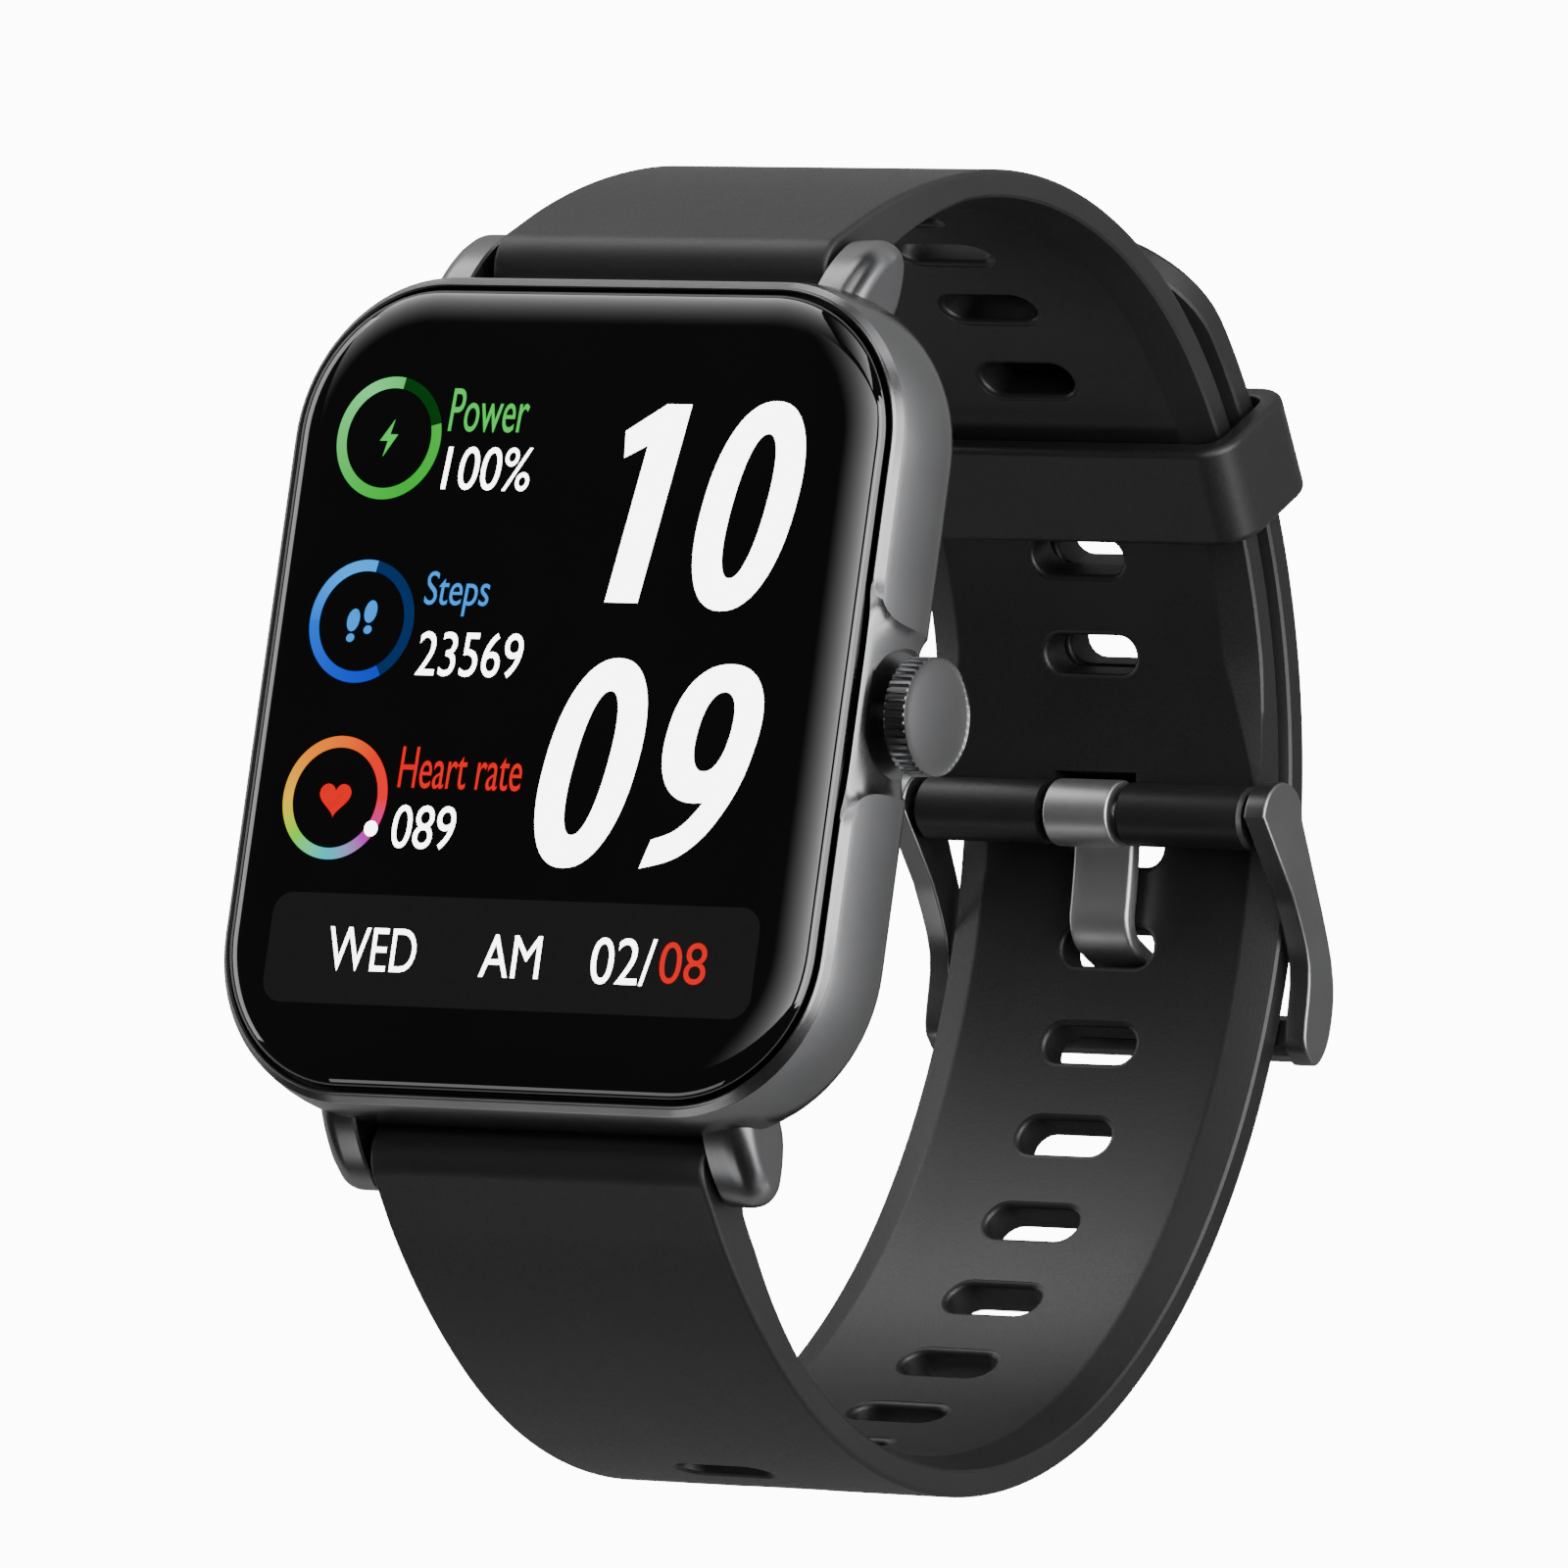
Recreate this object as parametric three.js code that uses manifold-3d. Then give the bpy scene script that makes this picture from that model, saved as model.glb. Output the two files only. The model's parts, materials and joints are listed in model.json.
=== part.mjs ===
// Smartwatch with a silicone strap and a pin buckle, closed as it is worn. Millimetres.
// +Z points out of the display, +Y to the twelve o'clock lugs and +X to the crown.
// The origin is the centre of the flat window face that rests on the wrist.
import * as THREE from "three";
import { mergeVertices } from "three/addons/utils/BufferGeometryUtils.js";
import Module from "manifold-3d";

const wasm = await Module();
wasm.setup();

// ---- Driving dimensions ----

const DEG = Math.PI / 180;
const GAP = 0.1; // between pieces bonded, clamped or resting on each other
const RUNNING_GAP = 0.3; // between pieces that turn or flex against each other

// Case: half sizes in X and Y, corner radius, and heights over the wrist face.
const CASE = { x: 18.6, y: 21.4, corner: 8.7, bottom: 3.2, top: 9.55 };
const CASE_ROUND = 3; // radius of the rounding into the back
const CASE_CHAMFER = 0.6; // chamfer round the display
const GLASS = { x: 17.45, y: 20.25, corner: 7.55, bottom: 8.75, top: 10.5, dome: 0.9 };
const CAVITY = { x: 13.6, y: 16.4, corner: 4.6 };
const DISPLAY_WELL = { x: 16.2, y: 19, corner: 6.3, bottom: 7.7 };
const BACK = { x: 15.4, y: 18.2, corner: 5.5, bottom: 1, top: 3.1, round: 1.2, floor: 1.9 };
const BOSS_RADIUS = 13; // raised disc of the back cover round the sensor window
const BOSS_BOTTOM = 0.2;
const BOSS_EDGE = 0.5; // bevel round the raised disc
const WINDOW = { radius: 9, thickness: 0.8, clearance: 0.15 };
const SENSOR_BORE = 7.5;
const POCKET = { x: 12.9, y: 15.7, corner: 3.9 }; // hollow inside the back cover
const SCREW_PLACES = [[11.2, 14], [-11.2, 14], [-11.2, -14], [11.2, -14]];
const SCREW = {
  head: 1.2, headBottom: 1.55, headTop: 2.2, shank: 0.65, tip: 5, tipBevel: 0.3,
  boss: 1.7, bossTop: 5.85, column: 1.9, columnBottom: 1.6, clearance: 0.15,
  cross: 0.7, crossWidth: 0.14, crossDepth: 0.35,
};
const SEAL = { x: 14.95, y: 17.75, corner: 5.05, width: 0.6, bottom: 2.55 };
const CHARGE_PINS = [-2, 2].map((x) => [x, -11]);
const CHARGE_PIN = { radius: 0.85, bottom: 0.25, flange: 1.3, flangeBottom: 1.95, top: 2.05 };
const CHARGE_MAGNETS = [-6, 6].map((x) => [x, -9.2]);
const CHARGE_MAGNET = { radius: 1.35, bottom: 0.8 };

// What the case holds: half sizes, heights and places.
const DISPLAY_PANEL = { x: 15.7, y: 18.5, corner: 5.8, bottom: 7.8 };
const RIBBON_HALF = 4; // half width of the display's ribbon
const RIBBON_PROFILE = [
  [-15.4, 7.65], [-16.1, 7.65], [-16.3, 7.5], [-16.3, 6.95], [-14.4, 6.95], [-14.4, 7.07],
  [-16.15, 7.07], [-16.15, 7.45], [-16.05, 7.55], [-15.4, 7.55],
];
const MID_PLATE = { x: 13.3, y: 15.9, corner: 4.3, bottom: 7.15, top: 7.4 };
const MID_PLATE_WINDOW = { x: 6, y: 9 };
const MID_PLATE_NOTCH = { x: 11.5, half: 2.5 };
const MAIN_BOARD = { x: 11, y: 15.4, corner: 3, bottom: 6, top: 6.8 };
const MAIN_BOARD_NOTCH = { x: 8.8, half: 4 };
const SHIELD_CAN = { x: 4.8, y: 4.2, corner: 0.5, bottom: 4.6, top: 5.95, at: [-4.6, 8.6] };
const BATTERY = { x: 9.2, y: 8.9, corner: 1.4, bottom: 2.1, top: 5.85, round: 0.5, at: [0, -6.6] };
const MOTOR = { radius: 4, bottom: 2.2, top: 4.9, at: [5.8, 8.8] };
const SWITCH = { inner: 9.5, outer: 10.9, halfWidth: 1.7, halfHeight: 1.05, bore: 0.9, bed: 9.95 };
const PLUNGER = { radius: 0.7, inner: 10.5, outer: 11.35 };
const SENSOR_BOARD = { radius: 7.1, bottom: 1.35, top: 1.85 };
const SENSOR_CHIP = { bottom: 0.9, top: 1.25, led: 0.8, diode: 1.3, spread: 3.6 };

// Crown: its axis runs along X at this height.
const CROWN = { z: 5.9, radius: 2.95, inner: 18.7, outer: 20.35, teeth: 44 };
const KNURL = { width: 1.2, depth: 0.15 };
const CROWN_RECESS = { radius: 3.3, floor: 17.9, bore: 1.3 };
// The shallow hollow in the case's side round the recess: [radius, X].
const CROWN_HOLLOW = [[CROWN_RECESS.radius, 18.2], [4.3, 18.3], [5.3, 18.75]];
const STEM = { radius: 0.7, inner: 11.45, clip: [12.95, 13.35], clipRadius: 0.45, seal: [15, 15.6] };
const CLIP = { inner: 0.58, outer: 1.35, from: 13.02, to: 13.28, opening: 40 };
const O_RING = { x: 15.3, radius: 0.78, section: 0.17 };
const BUSH = { bore: 1, radius: 1.2, from: 14, to: 16.7 };

// Lugs and spring bars.
const STRAP_WIDTH = 20;
const LUG = { inner: 10.35, outer: 12.9, bevel: 0.45, tipHole: 0.55, holeEnd: 11.7 };
const LUG_PROFILE = [
  [18.4, 8.1], [21.3, 7.1], [22.9, 6], [24, 4.9], [24.5, 3.9], [24.2, 3], [23.4, 2.4],
  [21, 2.5], [18.4, 4],
];
const BAR = { y: 22.75, z: 4.05, radius: 0.75, half: 10.2, tip: 0.4, bore: 0.52, boreEnd: 4 };
const BAR_TIP = { inner: 7.9, reach: 11.4 };
const COIL = { x: 4.25, length: 3.4, radius: 0.3, wire: 0.07, turns: 5 };

// Strap: outer face of each band as tangent arcs, [radius, end angle in degrees].
const STRAP_THICKNESS = 2.05;
const STRAP_BOSS = 1.85; // radius of the moulded end round a spring bar
const OVERLAP_CENTRE = new THREE.Vector2(-1.73, -6.64); // in Y and Z
const OVERLAP_RADIUS = 36.05; // outer face of the short band where the long one lies on it
const OVERLAP_END = -42.3;
const FLANK_RADIUS = 25.13; // outer face of the short band on the twelve o'clock side
const LAYER = STRAP_THICKNESS + 0.32; // from the short band's outer face to the long one's
const SHORT_START = -79.6;
const SHORT_ARCS = [[OVERLAP_RADIUS, OVERLAP_END], [FLANK_RADIUS, 17], [36, 38.4]];
const LONG_START = -22.5;
const LONG_ARCS = [
  [FLANK_RADIUS + LAYER, OVERLAP_END],
  [OVERLAP_RADIUS + LAYER, -115.4],
  [33, -137.4],
  [25.3, -208],
  [38, -227.4],
];
const TAIL_CORNER = 7;
const SLOT = { length: 5.5, width: 2, pitch: 5.38 };
const TONGUE_SLOT_ANGLE = -91; // round OVERLAP_CENTRE
const SHORT_SLOTS = 7;
const FIRST_SHORT_SLOT_ANGLE = -66.3;
const LONG_SLOTS_TO_TAIL = 4; // slots between the tongue's slot and the tail
const LONG_SLOTS_TO_LUG = 9; // slots between the tongue's slot and the lugs

// Buckle, turning on a pin through the end of the short band.
const PIN = { y: 4.05, z: -39.9, radius: 0.75, half: 11.5 };
const PIN_TUBE = 1.65; // radius of the moulded end round the pin
const NOTCH_HALF = 2.5; // gap in the moulded end for the tongue
const ARM = { inner: 10.4, outer: 11.7, eye: 1.9, bevel: 0.25 };
const CROSSBAR = { angle: -96.6, inner: 38.8, outer: 40.6, width: 2.2 };
const TONGUE = { half: 1.95, eye: 1.75, thickness: 0.95, outer: 35.95, reach: 11.4 };

const KEEPER = {
  angle: -50.4, width: 5.4, wall: 1.15, inner: 33.5, outer: 38.85, half: 10.4,
  corner: 0.6, outerCorner: 1.5, bevel: 0.25,
};

const CURVE_STEPS = 6; // segments in half of each arc

// ---- Materials ----

const metal = (color, roughness) =>
  new THREE.MeshStandardMaterial({ color, roughness, metalness: 1 });
const plain = (color, roughness) =>
  new THREE.MeshStandardMaterial({ color, roughness, metalness: 0 });

const CASE_METAL = metal(0x3c3d3f, 0.35);
const BUCKLE_METAL = metal(0x454648, 0.35);
const TONGUE_METAL = metal(0x77777a, 0.3);
const STEEL = metal(0xa8a8aa, 0.3);
const BRASS = metal(0xb08d45, 0.35);
const GOLD = metal(0xd8b050, 0.25);
const MAGNET = metal(0x8c8c90, 0.4);
const SILICONE = plain(0x2b2b2c, 0.7);
const RUBBER = plain(0x191919, 0.8);
const COVER_PLASTIC = plain(0x1c1c1d, 0.5);
const GLOSS_BLACK = plain(0x050505, 0.08);
const BOARD = plain(0x14513a, 0.5);
const FLEX = plain(0x8a5a1e, 0.5);
const CELL = plain(0x9a9ca0, 0.4);
const SWITCH_PLASTIC = plain(0x222224, 0.5);
const LED_GREEN = plain(0x49d36a, 0.3);

// ---- Solids ----

// A closed mesh as a manifold solid.
function solid(geometry) {
  const bare = geometry.clone();
  bare.deleteAttribute("normal");
  bare.deleteAttribute("uv");
  const merged = mergeVertices(bare, 1e-4);
  const corners = [];
  const index = merged.index.array;
  for (let i = 0; i < index.length; i += 3) {
    const [a, b, c] = index.slice(i, i + 3);
    if (a !== b && b !== c && c !== a) corners.push(a, b, c);
  }
  return new wasm.Manifold(new wasm.Mesh({
    numProp: 3,
    vertProperties: merged.attributes.position.array,
    triVerts: new Uint32Array(corners),
  }));
}

function geometryOf(made) {
  const { vertProperties, triVerts } = made.getMesh();
  const geometry = new THREE.BufferGeometry();
  geometry.setAttribute("position", new THREE.BufferAttribute(vertProperties, 3));
  geometry.setIndex(new THREE.BufferAttribute(triVerts, 1));
  const faceted = geometry.toNonIndexed();
  faceted.computeVertexNormals();
  return faceted;
}

const join = (...pieces) => pieces.map(solid).reduce((whole, piece) => whole.add(piece));
const cut = (base, ...tools) =>
  geometryOf(tools.map(solid).reduce((left, tool) => left.subtract(tool), base));

function roundedShape(x, y, corner) {
  const shape = new THREE.Shape();
  shape.moveTo(x - corner, -y);
  shape.absarc(x - corner, -y + corner, corner, -90 * DEG, 0);
  shape.absarc(x - corner, y - corner, corner, 0, 90 * DEG);
  shape.absarc(-x + corner, y - corner, corner, 90 * DEG, 180 * DEG);
  shape.absarc(-x + corner, -y + corner, corner, 180 * DEG, 270 * DEG);
  return shape;
}

// A rounded plate between two heights.
function plate({ x, y, corner }, bottom, top) {
  const options = { depth: top - bottom, bevelEnabled: false, curveSegments: 4 };
  return new THREE.ExtrudeGeometry(roundedShape(x, y, corner), options).translate(0, 0, bottom);
}

// A rounded plate whose upper and lower edges are both rounded or chamfered.
function softPlate({ x, y, corner }, bottom, top, size, height, steps) {
  const options = {
    depth: top - bottom - 2 * height,
    bevelThickness: height,
    bevelSize: size,
    bevelSegments: steps,
    curveSegments: 4,
  };
  const shape = roundedShape(x - size, y - size, corner - size);
  return new THREE.ExtrudeGeometry(shape, options).translate(0, 0, bottom + height);
}

function block(low, high) {
  const size = high.map((value, i) => value - low[i]);
  const middle = high.map((value, i) => (value + low[i]) / 2);
  return new THREE.BoxGeometry(...size).translate(...middle);
}

// A solid of revolution about an upright axis, from a [radius, height] profile.
function turned(profile, steps = 24) {
  return new THREE.LatheGeometry(profile.map(([r, h]) => new THREE.Vector2(r, h)), steps)
    .rotateX(90 * DEG);
}

// The same about the X axis, where the second number of the profile is X.
function turnedX(profile, y, z, steps = 24) {
  return new THREE.LatheGeometry(profile.map(([r, h]) => new THREE.Vector2(r, h)), steps)
    .rotateZ(-90 * DEG)
    .translate(0, y, z);
}

const rod = (radius, x0, x1, y, z, steps = 20) =>
  turnedX([[0, x0], [radius, x0], [radius, x1], [0, x1]], y, z, steps);
const disc = (radius, x, y, bottom, top, steps = 20) =>
  turned([[0, bottom], [radius, bottom], [radius, top], [0, top]], steps).translate(x, y, 0);

// A side view in Y and Z, extruded along X.
const SIDEWAYS = new THREE.Matrix4().makeBasis(
  new THREE.Vector3(0, 1, 0),
  new THREE.Vector3(0, 0, 1),
  new THREE.Vector3(1, 0, 0),
);
function sideways(shape, x0, x1, bevel = 0) {
  const options = {
    depth: x1 - x0 - 2 * bevel,
    bevelEnabled: bevel > 0,
    bevelThickness: bevel,
    bevelSize: bevel,
    bevelOffset: -bevel,
    bevelSegments: 2,
    curveSegments: CURVE_STEPS,
  };
  return new THREE.ExtrudeGeometry(shape, options)
    .applyMatrix4(SIDEWAYS)
    .translate(x0 + bevel, 0, 0);
}

function outline(points) {
  return new THREE.Shape(points.map(([y, z]) => new THREE.Vector2(y, z)));
}

function part(name, geometry, material) {
  const mesh = new THREE.Mesh(geometry, material);
  mesh.name = name;
  return mesh;
}

// ---- Strap path ----

// Tangent arcs that follow each other: each has its centre, radius, and first and last angle.
function tangentArcs(centre, startAngle, arcs) {
  const chain = [];
  let from = startAngle * DEG;
  let middle = centre.clone();
  arcs.forEach(([radius, end], i) => {
    if (i > 0) {
      const step = arcs[i - 1][0] - radius;
      middle = middle.clone().add(new THREE.Vector2(Math.cos(from), Math.sin(from))
        .multiplyScalar(step));
    }
    chain.push({ centre: middle, radius, from, to: end * DEG });
    from = end * DEG;
  });
  return chain;
}

const SHORT_CHAIN = tangentArcs(OVERLAP_CENTRE, SHORT_START, SHORT_ARCS);
const LONG_CHAIN = tangentArcs(SHORT_CHAIN[1].centre, LONG_START, LONG_ARCS);

// The outline of a band: out along its outer face, and back along its inner face.
function bandShape(chain, thickness) {
  const shape = new THREE.Shape();
  for (const { centre, radius, from, to } of chain)
    shape.absarc(centre.x, centre.y, radius, from, to, to < from);
  for (const { centre, radius, from, to } of [...chain].reverse())
    shape.absarc(centre.x, centre.y, radius - thickness, to, from, from < to);
  return shape;
}

// Where a distance along the middle of a band lies, as its centre, radius and angle.
function alongBand(chain, distance) {
  let left = distance;
  for (const arc of chain) {
    const radius = arc.radius - STRAP_THICKNESS / 2;
    const length = Math.abs(arc.to - arc.from) * radius;
    if (left <= length)
      return { ...arc, angle: arc.from + Math.sign(arc.to - arc.from) * (left / radius) };
    left -= length;
  }
  throw new Error("past the end of the band");
}

// Turns a flat cutter, drawn across (x) and along (y) the strap, to stand in the band.
function standInBand(geometry, { centre, radius, angle }, depth) {
  const out = new THREE.Vector3(0, Math.cos(angle), Math.sin(angle));
  const across = new THREE.Vector3(1, 0, 0);
  const along = new THREE.Vector3().crossVectors(out, across);
  const foot = out.clone().multiplyScalar(radius - depth);
  const turn = new THREE.Matrix4().makeBasis(across, along, out)
    .setPosition(0, centre.x + foot.y, centre.y + foot.z);
  return geometry.applyMatrix4(turn);
}

function slotCutter(chain, distance) {
  const shape = roundedShape(SLOT.length / 2, SLOT.width / 2, SLOT.width / 2 - 0.01);
  const cutter = new THREE.ExtrudeGeometry(shape, {
    depth: 2 * STRAP_THICKNESS,
    bevelEnabled: false,
    curveSegments: 1,
  });
  return standInBand(cutter, alongBand(chain, distance), 1.5 * STRAP_THICKNESS);
}

// ---- Case ----

function lug(side, end) {
  const finger = sideways(outline(LUG_PROFILE), LUG.inner, LUG.outer, LUG.bevel);
  if (end < 0) finger.rotateZ(180 * DEG);
  if (side * end < 0) finger.translate(side * (LUG.inner + LUG.outer), 0, 0);
  return finger;
}

function midFrame() {
  const rounded = solid(softPlate(
    CASE, CASE.bottom, CASE.top + 2 * CASE_ROUND, CASE_ROUND, CASE_ROUND, 4));
  const wider = { x: CASE.x + 0.5, y: CASE.y + 0.5, corner: CASE.corner + 0.5 };
  const slope = CASE_CHAMFER + 0.5;
  let body = rounded.intersect(solid(softPlate(wider, -4, CASE.top, slope, slope, 1)));
  for (const side of [-1, 1])
    for (const end of [-1, 1]) body = body.add(solid(lug(side, end)));
  const glassWell = { x: GLASS.x + 0.2, y: GLASS.y + 0.2, corner: GLASS.corner + 0.2 };
  const hollow = join(
    plate(CAVITY, 0, DISPLAY_WELL.bottom + 0.5),
    plate(DISPLAY_WELL, DISPLAY_WELL.bottom, CASE.top),
    plate(glassWell, GLASS.bottom - GAP, CASE.top + 1),
  );
  body = body.subtract(hollow);
  for (const [x, y] of SCREW_PLACES)
    body = body.add(solid(disc(SCREW.boss, x, y, CASE.bottom + GAP, SCREW.bossTop, 16)));
  const scoop = [
    [0, CROWN_RECESS.floor], [CROWN_RECESS.radius, CROWN_RECESS.floor],
    ...CROWN_HOLLOW, [0, CROWN_HOLLOW.at(-1)[1]],
  ];
  const crownBore = rod(
    CROWN_RECESS.bore, CAVITY.x - 1, CROWN_RECESS.floor + 0.5, 0, CROWN.z);
  const bars = [];
  for (const side of [-1, 1])
    for (const end of [-1, 1]) {
      const ends = [side * (LUG.inner - 1), side * LUG.holeEnd].sort((a, b) => a - b);
      bars.push(rod(LUG.tipHole, ...ends, end * BAR.y, BAR.z, 12));
    }
  const screwHoles = SCREW_PLACES.map(([x, y]) =>
    disc(SCREW.shank + GAP, x, y, 0, SCREW.tip + 0.4, 12));
  return part("mid_frame",
    cut(body, turnedX(scoop, 0, CROWN.z, 30), crownBore, ...bars, ...screwHoles), CASE_METAL);
}

// ---- Display stack ----

function glassCover() {
  const domed = solid(softPlate(
    GLASS, GLASS.bottom - 3, GLASS.top, GLASS.dome * 1.6, GLASS.dome, 4));
  const keep = solid(plate({ x: 30, y: 30, corner: 1 }, GLASS.bottom, GLASS.top + 1));
  return part("glass_cover", geometryOf(domed.intersect(keep)), GLOSS_BLACK);
}

function displayPanel() {
  return part("display_panel",
    plate(DISPLAY_PANEL, DISPLAY_PANEL.bottom, GLASS.bottom - GAP), GLOSS_BLACK);
}

// The display's ribbon, folded down past the end of the mid plate to the board.
function displayFlex() {
  return part("display_flex",
    sideways(outline(RIBBON_PROFILE), -RIBBON_HALF, RIBBON_HALF), FLEX);
}

function midPlate() {
  const { bottom, top } = MID_PLATE;
  const window = block([-MID_PLATE_WINDOW.x, -MID_PLATE_WINDOW.y, bottom - 1],
    [MID_PLATE_WINDOW.x, MID_PLATE_WINDOW.y, top + 1]);
  const crownNotch = block([MID_PLATE_NOTCH.x, -MID_PLATE_NOTCH.half, bottom - 1],
    [MID_PLATE.x + 1, MID_PLATE_NOTCH.half, top + 1]);
  return part("mid_plate", cut(solid(plate(MID_PLATE, bottom, top)), window, crownNotch), STEEL);
}

// ---- Electronics ----

function mainBoard() {
  const board = solid(plate(MAIN_BOARD, MAIN_BOARD.bottom, MAIN_BOARD.top));
  const notch = block([MAIN_BOARD_NOTCH.x, -MAIN_BOARD_NOTCH.half, MAIN_BOARD.bottom - 1],
    [MAIN_BOARD.x + 1, MAIN_BOARD_NOTCH.half, MAIN_BOARD.top + 1]);
  return part("main_board", cut(board, notch), BOARD);
}

function shieldCan() {
  return part("shield_can", plate(SHIELD_CAN, SHIELD_CAN.bottom, SHIELD_CAN.top)
    .translate(...SHIELD_CAN.at, 0), STEEL);
}

function battery() {
  const { bottom, top, round, at } = BATTERY;
  return part("battery",
    softPlate(BATTERY, bottom, top, round, round, 2).translate(...at, 0), CELL);
}

function vibrationMotor() {
  return part("vibration_motor",
    disc(MOTOR.radius, ...MOTOR.at, MOTOR.bottom, MOTOR.top, 28), STEEL);
}

function sideSwitch() {
  const { inner, outer, halfWidth, halfHeight, bore, bed } = SWITCH;
  const body = solid(block([inner, -halfWidth, CROWN.z - halfHeight],
    [outer, halfWidth, CROWN.z + halfHeight]));
  return part("side_switch", cut(body, rod(bore, bed, outer + 1, 0, CROWN.z, 14)),
    SWITCH_PLASTIC);
}

// ---- Back ----

function backCover() {
  const shell = solid(softPlate(
    BACK, BACK.bottom, BACK.top + BACK.round, BACK.round, BACK.round, 3));
  const below = solid(block([-30, -30, 0], [30, 30, BACK.top]));
  const raised = turned([
    [0, BOSS_BOTTOM], [BOSS_RADIUS - BOSS_EDGE, BOSS_BOTTOM],
    [BOSS_RADIUS, BOSS_BOTTOM + BOSS_EDGE], [BOSS_RADIUS, BACK.bottom + 0.5],
    [0, BACK.bottom + 0.5],
  ], 36);
  const body = shell.intersect(below).add(solid(raised));
  const groove = solid(plate(
    { x: SEAL.x + GAP, y: SEAL.y + GAP, corner: SEAL.corner + GAP },
    SEAL.bottom - GAP, BACK.top + 1))
    .subtract(solid(plate(
      { x: SEAL.x - SEAL.width - GAP, y: SEAL.y - SEAL.width - GAP,
        corner: SEAL.corner - SEAL.width - GAP }, 0, BACK.top + 2)));
  const columns = SCREW_PLACES.map(([x, y]) =>
    disc(SCREW.column, x, y, SCREW.columnBottom, BACK.top + 2, 16));
  const pocket = solid(plate(POCKET, BACK.floor, BACK.top + 1))
    .subtract(join(...columns));
  const shaped = body.subtract(groove).subtract(pocket);
  const heads = SCREW_PLACES.map(([x, y]) =>
    disc(SCREW.head + SCREW.clearance, x, y, 0, SCREW.headTop + GAP, 16));
  const shanks = SCREW_PLACES.map(([x, y]) =>
    disc(SCREW.shank + SCREW.clearance, x, y, 0, BACK.top + 1, 12));
  const pins = CHARGE_PINS.map(([x, y]) =>
    disc(CHARGE_PIN.radius + 0.15, x, y, 0, BACK.top, 16));
  const magnets = CHARGE_MAGNETS.map(([x, y]) =>
    disc(CHARGE_MAGNET.radius + 0.15, x, y, CHARGE_MAGNET.bottom - GAP, BACK.top, 16));
  return part("back_cover", cut(
    shaped,
    disc(WINDOW.radius + WINDOW.clearance, 0, 0, 0, WINDOW.thickness + GAP, 36),
    disc(SENSOR_BORE, 0, 0, 0, BACK.top, 28),
    ...heads, ...shanks, ...pins, ...magnets,
  ), COVER_PLASTIC);
}

function backGasket() {
  const ring = solid(plate(SEAL, SEAL.bottom, BACK.top));
  const inside = plate({
    x: SEAL.x - SEAL.width, y: SEAL.y - SEAL.width, corner: SEAL.corner - SEAL.width,
  }, 0, BACK.top + 1);
  return part("back_gasket", cut(ring, inside), RUBBER);
}

const sensorWindow = () =>
  part("sensor_window", disc(WINDOW.radius, 0, 0, 0, WINDOW.thickness, 36), GLOSS_BLACK);
const sensorBoard = () => part("sensor_board",
  disc(SENSOR_BOARD.radius, 0, 0, SENSOR_BOARD.bottom, SENSOR_BOARD.top, 32), BOARD);

function sensorParts() {
  const { bottom, top, led, diode, spread } = SENSOR_CHIP;
  const chip = (name, x, half, material) =>
    part(name, block([x - half, -half, bottom], [x + half, half, top]), material);
  return [
    chip("green_led_left", -spread, led, LED_GREEN),
    chip("green_led_right", spread, led, LED_GREEN),
    chip("photodiode", 0, diode, GLOSS_BLACK),
  ];
}

function chargeParts() {
  const { radius, bottom, flange, flangeBottom, top } = CHARGE_PIN;
  const contact = [
    [0, bottom], [radius, bottom], [radius, flangeBottom], [flange, flangeBottom],
    [flange, top], [0, top],
  ];
  const pins = CHARGE_PINS.map(([x, y], i) =>
    part(`charge_pin_${i + 1}`, turned(contact, 16).translate(x, y, 0), GOLD));
  const magnets = CHARGE_MAGNETS.map(([x, y], i) =>
    part(`charge_magnet_${i + 1}`,
      disc(CHARGE_MAGNET.radius, x, y, CHARGE_MAGNET.bottom, BACK.floor, 16), MAGNET));
  return [...pins, ...magnets];
}

function caseScrews() {
  const { head, headBottom, headTop, shank, tip, tipBevel } = SCREW;
  const { cross: reach, crossWidth: width, crossDepth } = SCREW;
  const profile = [
    [0, headBottom], [head, headBottom], [head, headTop], [shank, headTop],
    [shank, tip - tipBevel], [shank - tipBevel, tip], [0, tip],
  ];
  const socket = block([-reach, -width, 0], [reach, width, headBottom + crossDepth]);
  const cross = block([-width, -reach, 0], [width, reach, headBottom + crossDepth]);
  return SCREW_PLACES.map(([x, y], i) => part(`case_screw_${i + 1}`,
    cut(solid(turned(profile, 14)), socket, cross).translate(x, y, 0), STEEL));
}

// ---- Crown ----

function crownCap() {
  const shape = new THREE.Shape();
  const step = 360 / CROWN.teeth;
  for (let tooth = 0; tooth < CROWN.teeth; tooth += 1)
    for (const [share, depth] of [[0, 0], [0.55, 0], [0.62, KNURL.depth], [0.93, KNURL.depth]]) {
      const angle = (tooth + share) * step * DEG;
      const at = CROWN.radius - depth;
      if (tooth === 0 && share === 0) shape.moveTo(at * Math.cos(angle), at * Math.sin(angle));
      else shape.lineTo(at * Math.cos(angle), at * Math.sin(angle));
    }
  const knurlEnd = CROWN.inner + KNURL.width;
  const knurl = sideways(shape, CROWN.inner, knurlEnd).translate(0, 0, CROWN.z);
  const cap = turnedX([
    [0, knurlEnd - 0.1], [CROWN.radius, knurlEnd - 0.1], [CROWN.radius, knurlEnd + 0.05],
    [CROWN.radius - 0.3, knurlEnd + 0.25], [1.6, CROWN.outer - 0.05], [0, CROWN.outer],
  ], 0, CROWN.z, 40);
  return part("crown_cap", cut(join(knurl, cap),
    rod(STEM.radius + GAP, CROWN.inner - 1, knurlEnd, 0, CROWN.z)), CASE_METAL);
}

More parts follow.
